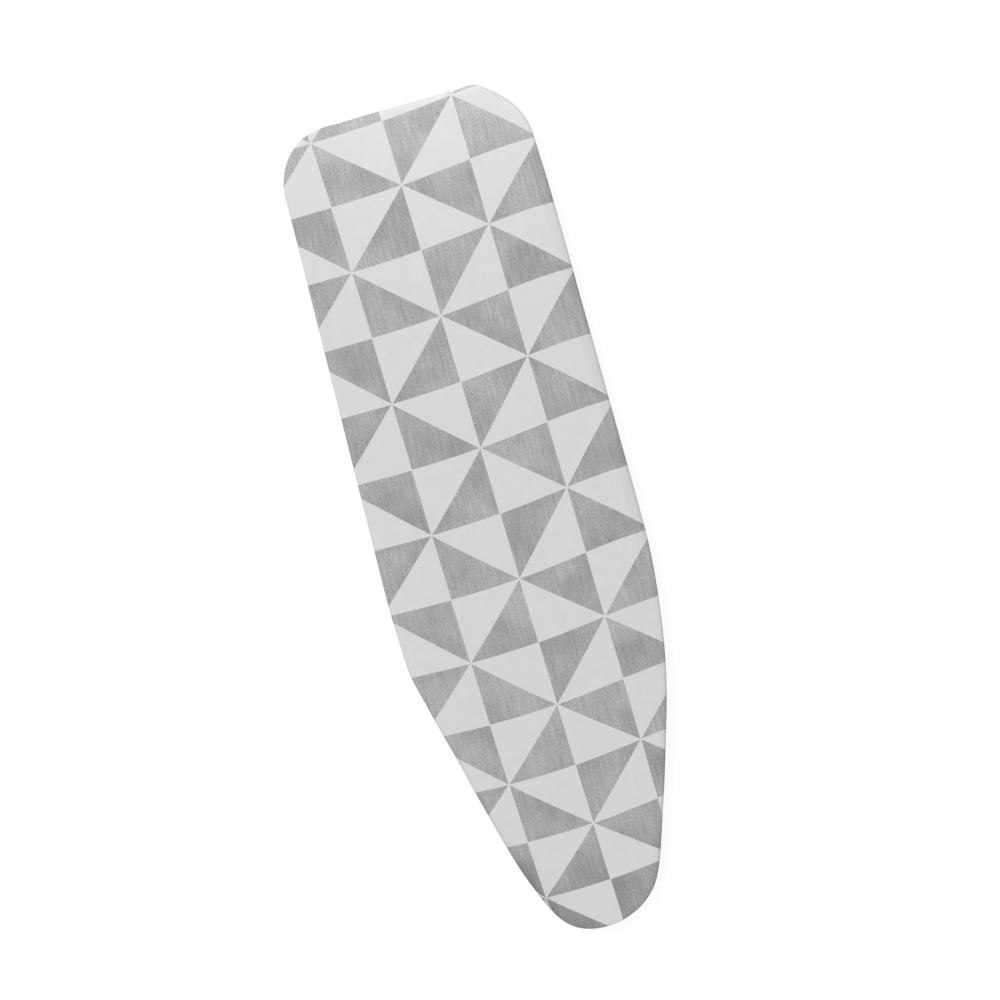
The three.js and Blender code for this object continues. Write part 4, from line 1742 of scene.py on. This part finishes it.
    def stitch_box(self, name: str, box: tuple[float, float, float], height: float) -> bpy.types.Object:
        """A box of stitches round a rectangle.

        Args:
            name: Name of the piece, without the strap's.
            box: Half its width, and where it starts and ends along the strap.
            height: Its height.

        Returns:
            The piece.
        """
        half, low_y, high_y = box
        corners = np.array([[-half, low_y], [half, low_y], [half, high_y], [-half, high_y]])
        share = np.linspace(0, 1, 12, endpoint=False)[None, :, None]
        sides = np.roll(corners, -1, axis=0) - corners
        plan = (corners[:, None] + share * sides[:, None]).reshape(-1, 2)
        line = np.column_stack([plan[:, 0] + self.x, plan[:, 1], np.full(len(plan), height)])
        row = stitch_row(line, self.stitch_pitch, self.stitch_length, self.thread)
        return row.build(f"{name}_{self.label}", self.thread_finish.build())

    def stitching(self) -> None:
        """Makes boxes of stitches at the root, round the hook tape and round the loop patch."""
        rim, tape_rim, tape_end = 2.2 * MM, 1.2 * MM, 1.4 * MM
        root_start, root_stop = self.fold_y - self.root_length + rim * 0.6, self.fold_y - 3.2 * MM
        root = (self.sizes.strap_width / 2 - rim, root_start, root_stop)
        hook, loop = (
            (self.tape_width / 2 - tape_rim, self.close_y - reach, self.close_y + reach)
            for reach in (length / 2 - tape_end for length in (self.hook_length, self.loop_length))
        )
        loop_under = self.loop_low + self.loop_thickness - self.loop_base - self.thread * 0.3
        root_under, hook_under = self.root_low + self.thread / 2, self.thread / 2
        dress(self.stitch_box("root_stitching", root, root_under), "cover", "webbing")
        dress(self.stitch_box("hook_stitching", hook, hook_under), f"strap_{self.label}", "hook")
        dress(self.stitch_box("loop_stitching", loop, loop_under), "cover", "loop")


# Studio


@dataclass
class Studio:
    """White room, soft lamps and the camera that looks straight down.

    The lamps, each with its place, size and power, are the main one, one low over the heel, one
    below the floor, and two at the rim's height beside the nose and the heel's corner.
    """

    sizes: CoverSizes
    picture_turn: float = 1.3115
    view_centre: tuple[float, float] = (-0.02356, 0.00143)
    field_width: float = 1.4168
    lens: float = 200.0
    floor_half: float = 30.0
    ambient: float = 0.46
    paper_share: float = 0.88
    paper_glow: float = 1.04
    paper_light: float = 0.5
    lamps: tuple[tuple[tuple[float, float, float], float, float], ...] = (
        ((-4.6, -4.0, 12.8), 6.0, 1135.0),
        ((-0.80, 0.05, 0.3), 0.3, 0.31),
        ((-1.6, -1.3, -1.5), 1.5, 42.0),
        ((0.92, 0.10, 0.065), 0.15, 0.22),
        ((-0.85, 0.42, 0.075), 0.15, 0.28),
    )

    def camera(self) -> None:
        """Places the camera over the board, turned as the photograph is."""
        data = bpy.data.cameras.new("camera")
        data.lens = self.lens
        data.clip_end = 200.0
        distance = self.field_width * data.lens / data.sensor_width
        thing = linked("camera", data)
        thing.location = (*self.view_centre, (self.sizes.roll_low + self.sizes.top) / 2 + distance)
        thing.rotation_euler = (0.0, 0.0, self.picture_turn)
        bpy.context.scene.camera = thing

    def lights(self) -> None:
        """Adds the soft lamps, each aimed at the middle of the cover."""
        for number, (place, size, power) in enumerate(self.lamps):
            data = bpy.data.lights.new(f"soft_lamp_{number}", "AREA")
            data.shape = "DISK"
            data.size = size
            data.energy = power
            thing = linked(data.name, data)
            thing.location = place
            thing.visible_camera = False
            thing.rotation_euler = (-Vector(place)).to_track_quat("-Z", "Y").to_euler()

    def room(self) -> None:
        """White surroundings: a camera, glossy or transmitted ray meets plain white, and other rays
        meet a soft white light."""
        world = bpy.data.worlds.new("white_room")
        world.use_nodes = True
        bpy.context.scene.world = world
        sheet = NodeSheet(world.node_tree)
        path = sheet.node("ShaderNodeLightPath")
        seen = path.outputs["Is Camera Ray"]
        for other in ("Is Glossy Ray", "Is Transmission Ray"):
            seen = sheet.number("MAXIMUM", seen, path.outputs[other])
        strength = sheet.times_plus(seen, 1.0 - self.ambient, self.ambient)
        background = world.node_tree.nodes["Background"]
        sheet.wire(background, color=(1.0, 1.0, 1.0, 1.0), strength=strength)

    def floor(self) -> None:
        """A white floor that keeps a soft shadow and is clear from below. To all but the camera it
        shines as evenly lit paper, and the lamp below it shines through, so that the underside is
        lit too."""
        half = self.floor_half
        corners = [(-half, -half, 0.0), (half, -half, 0.0), (half, half, 0.0), (-half, half, 0.0)]
        mesh = bpy.data.meshes.new("floor")
        mesh.from_pydata(corners, [], [(0, 1, 2, 3)])
        thing = linked("floor", mesh)
        thing.visible_shadow = False
        material = PaperFinish("floor_paper", roughness=0.9, specular=0.1).build()
        material.cycles.emission_sampling = "NONE"
        mesh.materials.append(material)
        sheet = NodeSheet(material.node_tree)
        nodes = material.node_tree.nodes
        camera = sheet.node("ShaderNodeLightPath").outputs["Is Camera Ray"]
        strength = sheet.times_plus(camera, self.paper_glow - self.paper_light, self.paper_light)
        glow = sheet.wire(sheet.node("ShaderNodeEmission"), strength=strength).outputs[0]
        glow_share = sheet.times_plus(camera, self.paper_share - 1.0, 1.0)
        paper = nodes["Principled BSDF"].outputs[0]
        lit = sheet.node("ShaderNodeMixShader", glow_share, paper, glow).outputs[0]
        below = sheet.node("ShaderNodeNewGeometry").outputs["Backfacing"]
        clear = sheet.node("ShaderNodeBsdfTransparent").outputs[0]
        both = sheet.node("ShaderNodeMixShader", below, lit, clear).outputs[0]
        sheet.wire(nodes["Material Output"], surface=both)


def main() -> None:
    """Builds the studio and the cover, in order."""
    logging.basicConfig(level=logging.INFO, format="%(message)s")
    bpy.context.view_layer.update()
    bpy.context.scene.view_settings.view_transform = "Standard"
    sizes = CoverSizes()
    studio = Studio(sizes)
    studio.camera()
    studio.lights()
    studio.room()
    studio.floor()

    gathers = Gathers(sizes)
    cover = PrintedCover(sizes, gathers, PrintedCottonFinish("printed_cotton", roughness=0.82, specular=0.2))
    cloth = cover.build()
    foam_skin = FoamFinish("foam", roughness=0.95, colour=(0.84, 0.81, 0.70))
    foam = PadLayer(sizes, "foam_layer", "foam", sizes.foam_depth, sizes.foam, foam_skin).build()
    needled = FibreFinish("needled_felt", roughness=1.0, colour=(0.60, 0.59, 0.57))
    felt_layer = PadLayer(sizes, "felt_layer", "felt", sizes.felt_depth, sizes.felt, needled)
    felt = felt_layer.build()

    thread = MouldedFinish("sewing_thread", roughness=0.6, colour=(0.86, 0.86, 0.85))
    hem = ElasticHem(
        sizes,
        gathers,
        TapeFinish("binding_tape", ribs_per_metre=1600.0, rib_depth=0.00006, picks_per_metre=1600.0),
        TapeFinish("hem_elastic", colour=(0.86, 0.86, 0.85), ribs_per_metre=800.0),
        thread,
    )
    binding, elastic, stitches = hem.binding(), hem.elastic(), hem.stitches()

    pale = (0.84, 0.84, 0.83)
    webbing_finish = TapeFinish("strap_webbing", colour=pale, ribs_per_metre=480.0, picks_per_metre=1100.0)
    hook_finish = MouldedFinish("hook_nylon", roughness=0.45)
    loop_finish = FibreFinish("loop_pile", roughness=1.0, colour=pale, fineness=1500.0, depth=0.0002)
    for place in StrapPlace:
        strap = ClosingStrap(sizes, place, webbing_finish, hook_finish, loop_finish, thread)
        webbing = strap.webbing()
        strap.hook_tape()
        strap.loop_patch()
        strap.stitching()


if __name__ == "__main__":
    main()
